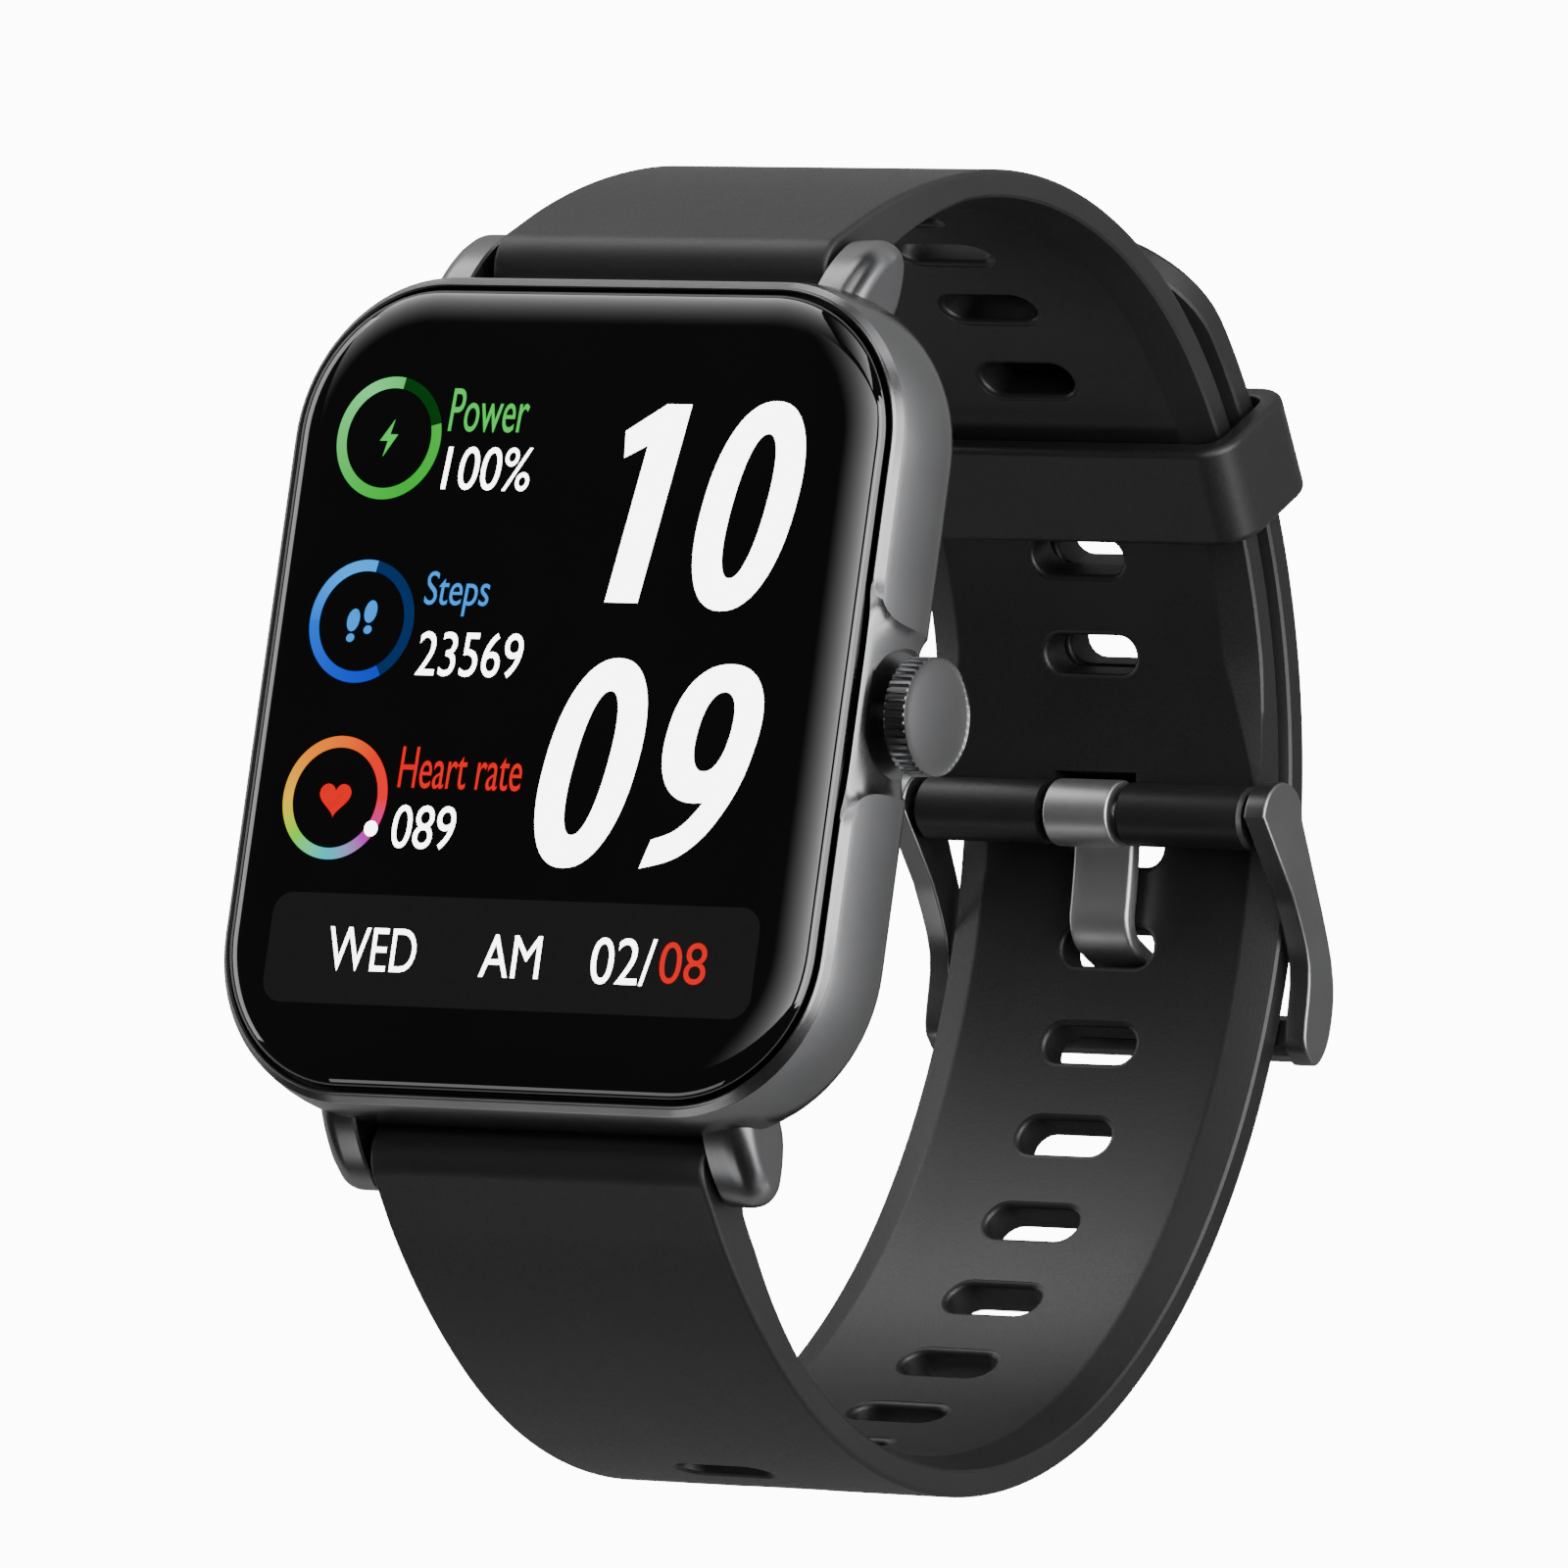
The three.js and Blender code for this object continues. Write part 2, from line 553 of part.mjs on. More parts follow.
function crownStem() {
  const { radius, inner, clip, clipRadius, seal } = STEM;
  const end = CROWN.inner + KNURL.width - GAP;
  const groove = radius - 0.15;
  const profile = [
    [0, inner], [radius - 0.2, inner], [radius, inner + 0.2],
    [radius, clip[0]], [clipRadius, clip[0]], [clipRadius, clip[1]], [radius, clip[1]],
    [radius, seal[0]], [groove, seal[0]], [groove, seal[1]], [radius, seal[1]],
    [radius, end], [0, end],
  ];
  return part("crown_stem", turnedX(profile, 0, CROWN.z, 20), STEEL);
}

function crownSeal() {
  const ring = new THREE.TorusGeometry(O_RING.radius, O_RING.section, 8, 20).rotateY(90 * DEG);
  return part("crown_o_ring", ring.translate(O_RING.x, 0, CROWN.z), RUBBER);
}

// The split ring that stops the stem from being pulled out.
function crownClip() {
  const { inner, outer, from, to, opening } = CLIP;
  const shape = new THREE.Shape();
  shape.absarc(0, 0, outer, opening * DEG, (360 - opening) * DEG);
  shape.absarc(0, 0, inner, (360 - opening) * DEG, opening * DEG, true);
  return part("crown_clip", sideways(shape, from, to).translate(0, 0, CROWN.z), STEEL);
}

function crownBush() {
  const { bore, radius, from, to } = BUSH;
  const profile = [[bore, from], [radius, from], [radius, to], [bore, to], [bore, from]];
  return part("crown_bush", turnedX(profile, 0, CROWN.z, 20), BRASS);
}

const switchPlunger = () => part("switch_plunger",
  rod(PLUNGER.radius, PLUNGER.inner, PLUNGER.outer, 0, CROWN.z, 14), SWITCH_PLASTIC);

// ---- Spring bars ----

function springBar(name, end) {
  const { radius, half, tip, bore, boreEnd } = BAR;
  const profile = [
    [0, -BAR_TIP.reach], [tip, -BAR_TIP.reach], [tip, -half], [radius, -half], [radius, half],
    [bore, half], [bore, boreEnd], [0, boreEnd],
  ];
  return part(`${name}_spring_bar`, turnedX(profile, end * BAR.y, BAR.z, 16), STEEL);
}

const barTip = (name, end) =>
  part(`${name}_bar_tip`, rod(BAR.tip, BAR_TIP.inner, BAR_TIP.reach, end * BAR.y, BAR.z, 12), STEEL);

class Coil extends THREE.Curve {
  constructor(radius, length, turns) {
    super();
    Object.assign(this, { radius, length, turns });
  }
  getPoint(t, target = new THREE.Vector3()) {
    const angle = 2 * Math.PI * this.turns * t;
    return target.set(this.length * t, this.radius * Math.cos(angle),
      this.radius * Math.sin(angle));
  }
}

function barCoil(name, end) {
  const wire = new THREE.Shape().absarc(0, 0, COIL.wire, 0, 360 * DEG);
  const coil = new THREE.ExtrudeGeometry(wire, {
    steps: COIL.turns * 8,
    curveSegments: 2,
    bevelEnabled: false,
    extrudePath: new Coil(COIL.radius, COIL.length, COIL.turns),
  });
  return part(`${name}_bar_coil`, coil.translate(COIL.x, end * BAR.y, BAR.z), STEEL);
}

// ---- Strap ----

// The thick root between the band's inner face and the boss round the spring bar.
function strapRoot(end, centre) {
  const angle = Math.atan2(BAR.z - centre.y, end * BAR.y - centre.x);
  const reach = Math.hypot(BAR.z - centre.y, end * BAR.y - centre.x);
  const at = (radius, turn) => [
    centre.x + radius * Math.cos(angle + turn * end * DEG),
    centre.y + radius * Math.sin(angle + turn * end * DEG),
  ];
  return sideways(outline([
    at(reach + STRAP_BOSS - 0.1, 0), at(reach + STRAP_BOSS - 0.3, -6),
    at(reach + STRAP_BOSS - STRAP_THICKNESS + 0.1, -12), at(reach - STRAP_BOSS + 0.6, -5),
    at(reach - STRAP_BOSS + 0.03, 0),
  ]), -STRAP_WIDTH / 2, STRAP_WIDTH / 2);
}

function strapEnd(end, chain) {
  const half = STRAP_WIDTH / 2;
  return join(
    sideways(bandShape(chain, STRAP_THICKNESS), -half, half),
    strapRoot(end, chain[chain.length - 1].centre),
    rod(STRAP_BOSS, -half, half, end * BAR.y, BAR.z, 28),
  );
}

const barHole = (end) => rod(BAR.radius + RUNNING_GAP, -15, 15, end * BAR.y, BAR.z, 20);

function strapShort() {
  const half = STRAP_WIDTH / 2;
  const body = strapEnd(1, SHORT_CHAIN)
    .add(solid(rod(PIN_TUBE, -half, half, PIN.y, PIN.z, 24)));
  const notch = block([-NOTCH_HALF, -3, -50], [NOTCH_HALF, 6.2, -37]);
  const firstSlot = (FIRST_SHORT_SLOT_ANGLE - SHORT_START) * DEG
    * (OVERLAP_RADIUS - STRAP_THICKNESS / 2);
  const slots = Array.from({ length: SHORT_SLOTS }, (_, i) =>
    slotCutter(SHORT_CHAIN, firstSlot + i * SLOT.pitch));
  return part("strap_short", cut(
    body, barHole(1), rod(PIN.radius + RUNNING_GAP, -15, 15, PIN.y, PIN.z, 20), notch, ...slots,
  ), SILICONE);
}

// What the rounded corners of the tail leave out.
function tailCutter() {
  const half = STRAP_WIDTH / 2;
  const shape = new THREE.Shape();
  shape.moveTo(-half - 1, -TAIL_CORNER);
  shape.absarc(-half + TAIL_CORNER, -TAIL_CORNER, TAIL_CORNER, 180 * DEG, 90 * DEG, true);
  shape.absarc(half - TAIL_CORNER, -TAIL_CORNER, TAIL_CORNER, 90 * DEG, 0, true);
  shape.lineTo(half + 1, -TAIL_CORNER);
  shape.lineTo(half + 1, 3);
  shape.lineTo(-half - 1, 3);
  const cutter = new THREE.ExtrudeGeometry(shape, {
    depth: 8, bevelEnabled: false, curveSegments: 4,
  });
  const [first] = LONG_CHAIN;
  return standInBand(cutter.rotateX(180 * DEG).translate(0, 0, 8),
    { ...first, angle: first.from }, 5);
}

function strapLong() {
  const { centre, radius, from, to } = LONG_CHAIN[0];
  const tailToOverlap = Math.abs(to - from) * (radius - STRAP_THICKNESS / 2);
  const overlapMiddle = LONG_CHAIN[1].radius - STRAP_THICKNESS / 2;
  const tongueSlot = tailToOverlap
    + (OVERLAP_END - TONGUE_SLOT_ANGLE) * DEG * overlapMiddle;
  const slots = [];
  for (let i = -LONG_SLOTS_TO_TAIL; i <= LONG_SLOTS_TO_LUG; i += 1)
    slots.push(slotCutter(LONG_CHAIN, tongueSlot + i * SLOT.pitch));
  return part("strap_long", cut(strapEnd(-1, LONG_CHAIN), barHole(-1), tailCutter(), ...slots),
    SILICONE);
}

// The loop that holds the tail down on the short band.
function keeperLoop() {
  const { angle, width, wall, inner, outer, half, corner, outerCorner, bevel } = KEEPER;
  const middle = (inner + outer) / 2;
  const opening = roundedShape(half, (outer - inner) / 2, corner);
  const shape = roundedShape(half + wall, (outer - inner) / 2 + wall, outerCorner);
  shape.holes.push(opening);
  const depth = width - 2 * bevel;
  const loop = new THREE.ExtrudeGeometry(shape, {
    depth, bevelThickness: bevel, bevelSize: bevel, bevelOffset: -bevel,
    bevelSegments: 1, curveSegments: 3,
  }).translate(0, 0, -depth / 2);
  const out = new THREE.Vector3(0, Math.cos(angle * DEG), Math.sin(angle * DEG));
  const across = new THREE.Vector3(1, 0, 0);
  const turn = new THREE.Matrix4()
    .makeBasis(across, out, new THREE.Vector3().crossVectors(across, out))
    .setPosition(0, OVERLAP_CENTRE.x + middle * out.y, OVERLAP_CENTRE.y + middle * out.z);
  return part("keeper_loop", loop.applyMatrix4(turn), SILICONE);
}

// ---- Buckle ----

// A point at a radius and angle round the centre of the overlapping bands.
const aroundOverlap = (radius, degrees) => [
  OVERLAP_CENTRE.x + radius * Math.cos(degrees * DEG),
  OVERLAP_CENTRE.y + radius * Math.sin(degrees * DEG),
];

function buckleFrame() {
  const { angle, inner, outer, width } = CROSSBAR;
  const step = (width / 2 / outer) / DEG;
  const pinAngle = Math.atan2(PIN.z - OVERLAP_CENTRE.y, PIN.y - OVERLAP_CENTRE.x) / DEG;
  const pinRadius = Math.hypot(PIN.z - OVERLAP_CENTRE.y, PIN.y - OVERLAP_CENTRE.x);
  const side = outline([
    aroundOverlap(pinRadius + ARM.eye, pinAngle), aroundOverlap(38.2, pinAngle - 7),
    aroundOverlap(40.2, pinAngle - 12.5), aroundOverlap(outer, angle + step * 0.6),
    aroundOverlap(outer - 0.4, angle - step), aroundOverlap(inner + 0.4, angle - step * 1.2),
    aroundOverlap(inner - 0.5, angle - step * 0.4), aroundOverlap(37.6, pinAngle - 11.5),
    aroundOverlap(35, pinAngle - 6), aroundOverlap(pinRadius - ARM.eye, pinAngle),
  ]);
  const arms = [-1, 1].flatMap((hand) => {
    const [x0, x1] = [hand * ARM.inner, hand * ARM.outer].sort((a, b) => a - b);
    return [sideways(side, x0, x1, ARM.bevel), rod(ARM.eye, x0, x1, PIN.y, PIN.z, 24)];
  });
  const bar = outline([
    aroundOverlap(outer, angle + step), aroundOverlap(outer, angle - step * 0.8),
    aroundOverlap(inner + 0.3, angle - step), aroundOverlap(inner, angle - step * 0.7),
    aroundOverlap(inner, angle + step * 0.8), aroundOverlap(inner + 0.3, angle + step),
  ]);
  const rest = TONGUE.half + RUNNING_GAP;
  return part("buckle_frame", cut(
    join(...arms, sideways(bar, -ARM.inner - 0.3, ARM.inner + 0.3)),
    rod(TONGUE.reach, -rest, rest, PIN.y, PIN.z, 48),
    rod(PIN.radius + GAP, -15, 15, PIN.y, PIN.z, 20),
  ), BUCKLE_METAL);
}

// From the eye round the pin, inside the long band, out through a slot to the crossbar,
// whose edge is hollowed so that the tip clears it as either of them swings.
function buckleTongue() {
  const { half, eye, thickness, outer } = TONGUE;
  const slot = TONGUE_SLOT_ANGLE;
  const blade = outline([
    aroundOverlap(outer, -80), aroundOverlap(outer, slot + 1.9), aroundOverlap(36.8, slot + 0.9),
    aroundOverlap(38.7, slot + 0.1), aroundOverlap(39.6, slot - 0.7),
    aroundOverlap(40.1, slot - 1.8), aroundOverlap(40.2, slot - 3.2),
    aroundOverlap(39.6, slot - 3.8), aroundOverlap(39.25, slot - 3.6),
    aroundOverlap(39.1, slot - 1.2), aroundOverlap(37, slot - 0.95),
    aroundOverlap(35.8, slot - 0.2), aroundOverlap(outer - thickness, slot + 1.4),
    aroundOverlap(outer - thickness, -80),
  ]);
  return part("buckle_tongue", cut(
    join(sideways(blade, -half, half), rod(eye, -half, half, PIN.y, PIN.z, 24)),
    rod(PIN.radius + GAP, -15, 15, PIN.y, PIN.z, 20),
  ), TONGUE_METAL);
}

const bucklePin = () =>
  part("buckle_pin", rod(PIN.radius, -PIN.half, PIN.half, PIN.y, PIN.z, 16), STEEL);

// ---- Assembly ----

function group(...meshes) {
  const made = new THREE.Group();
  made.add(...meshes);
  return made;
}

const display = group(glassCover(), displayPanel(), displayFlex(), midPlate());
const electronics = group(mainBoard(), shieldCan(), battery(), vibrationMotor(), sideSwitch());
const back = group(backCover(), backGasket(), sensorWindow(), sensorBoard(), ...sensorParts(),
  ...chargeParts(), ...caseScrews());
const crown = group(crownCap(), crownStem(), crownSeal(), crownClip());
const bars = [["upper", 1], ["lower", -1]].flatMap(([name, end]) =>
  [springBar(name, end), barCoil(name, end), barTip(name, end)]);
const strap = group(strapShort(), strapLong(), keeperLoop());
const buckle = group(buckleFrame(), buckleTongue(), bucklePin());

const smartwatch = new THREE.Group();
smartwatch.add(midFrame(), display, electronics, back, crownBush(), switchPlunger(), crown,
  ...bars, strap, buckle);

export default smartwatch;
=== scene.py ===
"""Looks of the smartwatch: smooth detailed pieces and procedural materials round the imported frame."""

import json
import math

import bmesh
import bpy
from mathutils import Matrix, Vector


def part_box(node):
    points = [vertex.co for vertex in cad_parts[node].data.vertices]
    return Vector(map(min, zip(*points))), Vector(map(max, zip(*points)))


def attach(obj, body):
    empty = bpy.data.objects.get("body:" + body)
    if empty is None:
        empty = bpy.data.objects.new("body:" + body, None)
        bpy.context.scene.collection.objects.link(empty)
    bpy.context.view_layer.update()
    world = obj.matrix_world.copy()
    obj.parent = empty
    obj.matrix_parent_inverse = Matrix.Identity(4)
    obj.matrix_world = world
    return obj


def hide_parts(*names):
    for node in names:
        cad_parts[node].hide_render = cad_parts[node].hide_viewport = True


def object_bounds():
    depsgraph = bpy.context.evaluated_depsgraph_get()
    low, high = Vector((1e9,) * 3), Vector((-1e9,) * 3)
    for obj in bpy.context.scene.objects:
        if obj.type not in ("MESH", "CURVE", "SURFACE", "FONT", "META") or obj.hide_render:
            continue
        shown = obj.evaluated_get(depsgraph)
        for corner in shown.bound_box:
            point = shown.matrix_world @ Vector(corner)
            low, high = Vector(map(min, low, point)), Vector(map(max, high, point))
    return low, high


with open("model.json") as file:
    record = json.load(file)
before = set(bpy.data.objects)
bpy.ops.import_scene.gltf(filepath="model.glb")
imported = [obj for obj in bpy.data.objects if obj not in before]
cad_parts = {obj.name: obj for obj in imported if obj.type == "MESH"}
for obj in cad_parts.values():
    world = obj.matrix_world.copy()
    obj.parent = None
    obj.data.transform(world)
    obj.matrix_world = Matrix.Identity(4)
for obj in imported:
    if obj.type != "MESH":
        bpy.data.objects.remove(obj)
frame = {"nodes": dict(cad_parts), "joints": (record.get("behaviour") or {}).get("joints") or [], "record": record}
CAD_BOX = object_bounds()

MM = 0.001
RECORD_JOINTS = {joint["name"]: joint for joint in frame["joints"]}


def joint_centre(name):
    """A hinge's place in the Y-Z plane, in millimetres."""
    return Vector(RECORD_JOINTS[name]["pos_m"][1:]) / MM


def box_mm(node):
    low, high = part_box(node)
    return low / MM, high / MM


# ---- Sizes in millimetres, from the frame where it holds them ----

CASE_HIGH = box_mm("mid_frame")[1]
GLASS_LOW, GLASS_HIGH = box_mm("glass_cover")
BACK_LOW, BACK_HIGH = box_mm("back_cover")
CROWN_LOW, CROWN_HIGH = box_mm("crown_cap")
WINDOW_RADIUS = box_mm("sensor_window")[1].x

CASE_HALF = (CASE_HIGH.x, 21.4)
CASE_CORNER = 8.7
CASE_BOTTOM = 3.2
CASE_ROUNDING = 3  # radius from the side into the back
CASE_WIDEST = CASE_BOTTOM + CASE_ROUNDING
CASE_BULGE = 0.4  # how far the side leans in under the chamfer
CHAMFER_INSET, CHAMFER_FOOT = 0.41, 9.13
CASE_TOP = 9.55
GLASS_CORNER = 7.55
CROWN_Z = joint_centre("crown_spin").y
CROWN_RADIUS = (CROWN_HIGH.z - CROWN_LOW.z) / 2

UPPER_BAR = joint_centre("strap_short_pivot")
LOWER_BAR = joint_centre("strap_long_pivot")
PIN = joint_centre("buckle_frame_pivot")
OVERLAP_CENTRE = joint_centre("keeper_slide")

STRAP_HALF = 10
STRAP_THICKNESS = 2.05
STRAP_BOSS = 1.85  # radius of the moulded end round a spring bar
BAR_HOLE = 1.05
PAST_STRAP = 15  # half length of a cutter that clears the strap on both sides
PIN_TUBE = 1.65
OVERLAP_RADIUS = 36.05
FLANK_RADIUS = 25.13
LAYER = STRAP_THICKNESS + 0.32
SHORT_START = -79.6  # angles in degrees, about the overlap's centre
OVERLAP_END = -42.3
SHORT_ARCS = [(OVERLAP_RADIUS, OVERLAP_END), (FLANK_RADIUS, 17), (36, 38.4)]
LONG_START = -22.5
LONG_ARCS = [
    (FLANK_RADIUS + LAYER, OVERLAP_END),
    (OVERLAP_RADIUS + LAYER, -115.4),
    (33, -137.4),
    (25.3, -208),
    (38, -227.4),
]
SLOT_LENGTH, SLOT_WIDTH, SLOT_PITCH = 5.5, 2, 5.38
TONGUE_SLOT = -91
SHORT_SLOTS = 7
FIRST_SHORT_SLOT = -66.3
SLOTS_TO_TAIL, SLOTS_TO_LUG = 4, 9
TAIL_CORNER = 7


# ---- Materials ----


class Nodes:
    """A small builder for one node-based material."""

    def __init__(self, name):
        self.material = bpy.data.materials.new(name)
        self.material.use_nodes = True
        self.tree = self.material.node_tree
        self.shader = self.tree.nodes["Principled BSDF"]
        self.place = self.tree.nodes.new("ShaderNodeTexCoord").outputs["Object"]

    def set(self, **values):
        for key, value in values.items():
            self.shader.inputs[key.replace("_", " ")].default_value = value
        return self

    def noise(self, scale, detail=2.0):
        node = self.tree.nodes.new("ShaderNodeTexNoise")
        node.inputs["Scale"].default_value = scale
        node.inputs["Detail"].default_value = detail
        self.tree.links.new(self.place, node.inputs["Vector"])
        return node.outputs["Fac"]

    def ramp(self, factor, stops, low=0.0, high=1.0):
        """Colours or greys spread between two values of a factor."""
        node = self.tree.nodes.new("ShaderNodeValToRGB")
        elements = node.color_ramp.elements
        while len(elements) < len(stops):
            elements.new(1.0)
        for i, stop in enumerate(stops):
            share = i / max(len(stops) - 1, 1)
            elements[i].position = low + (high - low) * share
            colour = stop if isinstance(stop, tuple) else (stop, stop, stop)
            elements[i].color = (*colour, 1)
        self.tree.links.new(factor, node.inputs["Fac"])
        return node.outputs["Color"]

    def link(self, output, socket):
        self.tree.links.new(output, self.shader.inputs[socket])

    def bump(self, height, strength, distance):
        node = self.tree.nodes.new("ShaderNodeBump")
        node.inputs["Strength"].default_value = strength
        node.inputs["Distance"].default_value = distance
        self.tree.links.new(height, node.inputs["Height"])
        self.tree.links.new(node.outputs["Normal"], self.shader.inputs["Normal"])


def metal(name, dark, light, rough, grain=9000, strength=0.035):
    """Blasted metal with a fine grain and slightly uneven gloss."""
    m = Nodes(name).set(Metallic=1.0)
    cloud = m.noise(240, 3)
    m.link(m.ramp(cloud, [dark, light], 0.3, 0.7), "Base Color")
    fine = m.noise(grain, 2)
    m.link(m.ramp(fine, [rough[0], rough[1]], 0.3, 0.7), "Roughness")
    m.bump(fine, strength, 0.00001)
    return m.material


def moulded(name, dark, light, rough, grain=6500, strength=0.22, depth=0.00003):
    """Moulded plastic or rubber with a fine surface texture."""
    m = Nodes(name).set(Metallic=0.0)
    cloud = m.noise(160, 4)
    m.link(m.ramp(cloud, [dark, light], 0.3, 0.7), "Base Color")
    fine = m.noise(grain, 3)
    m.link(m.ramp(fine, [rough[0], rough[1]], 0.25, 0.75), "Roughness")
    m.bump(fine, strength, depth)
    return m.material


def glossy(name, colour, rough=(0.02, 0.06), ior=1.5):
    """Polished glass over black print, with faint smears in its gloss."""
    m = Nodes(name).set(Metallic=0.0, IOR=ior)
    smear = m.noise(90, 5)
    lighter = tuple(c * 1.5 + 0.0004 for c in colour)
    m.link(m.ramp(smear, [colour, lighter], 0.35, 0.75), "Base Color")
    m.link(m.ramp(smear, [rough[0], rough[1]], 0.35, 0.75), "Roughness")
    return m.material


def lit(name, colours, strength=1.0, around=False, flat=0.9):
    """A lit area of the display, evened out by flat or with its colours turned about its centre."""
    m = Nodes(name).set(Roughness=0.05, Emission_Strength=strength, IOR=1.5)
    m.shader.inputs["Base Color"].default_value = (0.0, 0.0, 0.0, 1)
    if around:
        node = m.tree.nodes.new("ShaderNodeTexGradient")
        node.gradient_type = "RADIAL"
        m.tree.links.new(m.place, node.inputs["Vector"])
        factor = node.outputs["Fac"]
        m.link(m.ramp(factor, colours), "Emission Color")
    else:
        pixels = m.noise(3000, 1)
        shades = [tuple(c * flat for c in colours[0]), colours[0]]
        m.link(m.ramp(pixels, shades, 0.2, 0.5), "Emission Color")
    return m.material


CASE_METAL = metal("case_metal", (0.2, 0.201, 0.206), (0.225, 0.226, 0.231), (0.22, 0.27))
BUCKLE_METAL = metal(
    "buckle_metal", (0.26, 0.261, 0.267), (0.3, 0.301, 0.307), (0.32, 0.37), strength=0.012
)
TONGUE_METAL = metal(
    "tongue_metal", (0.55, 0.552, 0.56), (0.6, 0.602, 0.61), (0.4, 0.45), strength=0.012
)
STEEL = metal("steel", (0.42, 0.42, 0.43), (0.55, 0.55, 0.56), (0.22, 0.34))
BRASS = metal("brass", (0.48, 0.33, 0.12), (0.6, 0.43, 0.17), (0.25, 0.4))
GOLD = metal("contact_gold", (0.75, 0.5, 0.16), (0.85, 0.6, 0.24), (0.15, 0.25))
MAGNET = metal("magnet", (0.35, 0.35, 0.36), (0.45, 0.45, 0.46), (0.2, 0.35))
SILICONE = moulded("silicone", (0.0085, 0.0085, 0.0087), (0.011, 0.011, 0.0112), (0.38, 0.47))
RUBBER = moulded("seal_rubber", (0.012, 0.012, 0.012), (0.02, 0.02, 0.02), (0.6, 0.75))
COVER_PLASTIC = moulded(
    "cover_plastic", (0.012, 0.012, 0.0125), (0.017, 0.017, 0.0175), (0.3, 0.42), 7000, 0.15
)
SWITCH_PLASTIC = moulded("switch_plastic", (0.02, 0.02, 0.02), (0.03, 0.03, 0.03), (0.35, 0.5))
GLASS = glossy("cover_glass", (0.0008, 0.0008, 0.0009), (0.02, 0.05), 1.85)
DISPLAY = glossy("display", (0.002, 0.002, 0.0024))
WINDOW = glossy("window", (0.003, 0.003, 0.0035), (0.03, 0.08))
BOARD = moulded("board", (0.008, 0.06, 0.03), (0.015, 0.09, 0.045), (0.3, 0.45))
FLEX = moulded("flex", (0.2, 0.09, 0.015), (0.28, 0.13, 0.025), (0.3, 0.45))
CELL = metal("cell", (0.4, 0.41, 0.42), (0.5, 0.51, 0.52), (0.3, 0.45))
LED_LENS = glossy("led_lens", (0.08, 0.5, 0.16))
SLOT_MATERIALS = {
    "case_metal": CASE_METAL, "buckle_metal": BUCKLE_METAL, "tongue_metal": TONGUE_METAL,
    "steel": STEEL, "brass": BRASS, "contact_gold": GOLD, "magnet": MAGNET,
    "cover_glass": GLASS, "display": DISPLAY, "silicone": SILICONE, "seal_rubber": RUBBER,
    "cover_plastic": COVER_PLASTIC, "window": WINDOW, "board": BOARD, "flex": FLEX,
    "cell": CELL, "switch_plastic": SWITCH_PLASTIC, "led_lens": LED_LENS,
}


# ---- Mesh tools ----


def new_object(name, verts, faces, scale=MM):
    mesh = bpy.data.meshes.new(name)
    mesh.from_pydata([tuple(Vector(v) * scale) for v in verts], [], faces)
    obj = bpy.data.objects.new(name, mesh)
    bpy.context.scene.collection.objects.link(obj)
    tidy_faces(obj)
    return obj


def tidy_faces(obj):
    bm = bmesh.new()
    bm.from_mesh(obj.data)
    bmesh.ops.remove_doubles(bm, verts=bm.verts, dist=1e-7)
    bmesh.ops.recalc_face_normals(bm, faces=bm.faces)
    bm.to_mesh(obj.data)
    bm.free()


def bake(obj):
    """Turns an object's modifiers into its mesh."""
    depsgraph = bpy.context.evaluated_depsgraph_get()
    mesh = bpy.data.meshes.new_from_object(obj.evaluated_get(depsgraph))
    obj.modifiers.clear()
    obj.data = mesh


def boolean(obj, other, operation):
    modifier = obj.modifiers.new("boolean", "BOOLEAN")
    modifier.operation = operation
    modifier.object = other
    modifier.solver = "EXACT"
    bake(obj)
    bpy.data.objects.remove(other)
    return obj


def carve(obj, *others):
    for other in others:
        boolean(obj, other, "DIFFERENCE")
    return obj


def add(obj, *others):
    for other in others:
        boolean(obj, other, "UNION")
    return obj


def loft(name, rings, loop=False):
    """A closed solid through rings of equally many points; loop joins the last to the first."""
    count = len(rings[0])
    verts = [point for ring in rings for point in ring]
    faces = []
    for i in range(len(rings) if loop else len(rings) - 1):
        a, b = i * count, (i + 1) % len(rings) * count
        for j in range(count):
            k = (j + 1) % count
            faces.append((a + j, a + k, b + k, b + j))
    if not loop:
        faces.append(tuple(range(count - 1, -1, -1)))
        faces.append(tuple((len(rings) - 1) * count + j for j in range(count)))
    return new_object(name, verts, faces)


def arc(start, end, steps):
    """Angles in radians from one to the other, given in degrees."""
    return [math.radians(start + (end - start) * i / steps) for i in range(steps + 1)]


def rounded_ring(half_x, half_y, corner, z, steps=14, sides=(6, 8)):
    """Points round a rounded rectangle, with extra points along its straight sides."""
    points = []
    corners = [(1, -1, -90), (1, 1, 0), (-1, 1, 90), (-1, -1, 180)]
    for i, (sx, sy, start) in enumerate(corners):
        cx, cy = sx * (half_x - corner), sy * (half_y - corner)
        for angle in arc(start, start + 90, steps):
            points.append(Vector((cx + corner * math.cos(angle), cy + corner * math.sin(angle), z)))
        nx, ny, next_start = corners[(i + 1) % 4]
        angle = math.radians(next_start)
        goal = Vector((
            nx * (half_x - corner) + corner * math.cos(angle),
            ny * (half_y - corner) + corner * math.sin(angle), z,
        ))
        number = sides[1] if i % 2 == 0 else sides[0]
        last = points[-1]
        points += [last.lerp(goal, share / number) for share in range(1, number)]
    return points


def rounded_shell(name, half, corner, profile, loop=False, steps=14, sides=(6, 8)):
    """Rings inset from a rounded rectangle; the profile holds (inset, z)."""
    rings = [
        rounded_ring(half[0] - d, half[1] - d, max(corner - d, 0.05), z, steps, sides)
        for d, z in profile
    ]
    return loft(name, rings, loop)


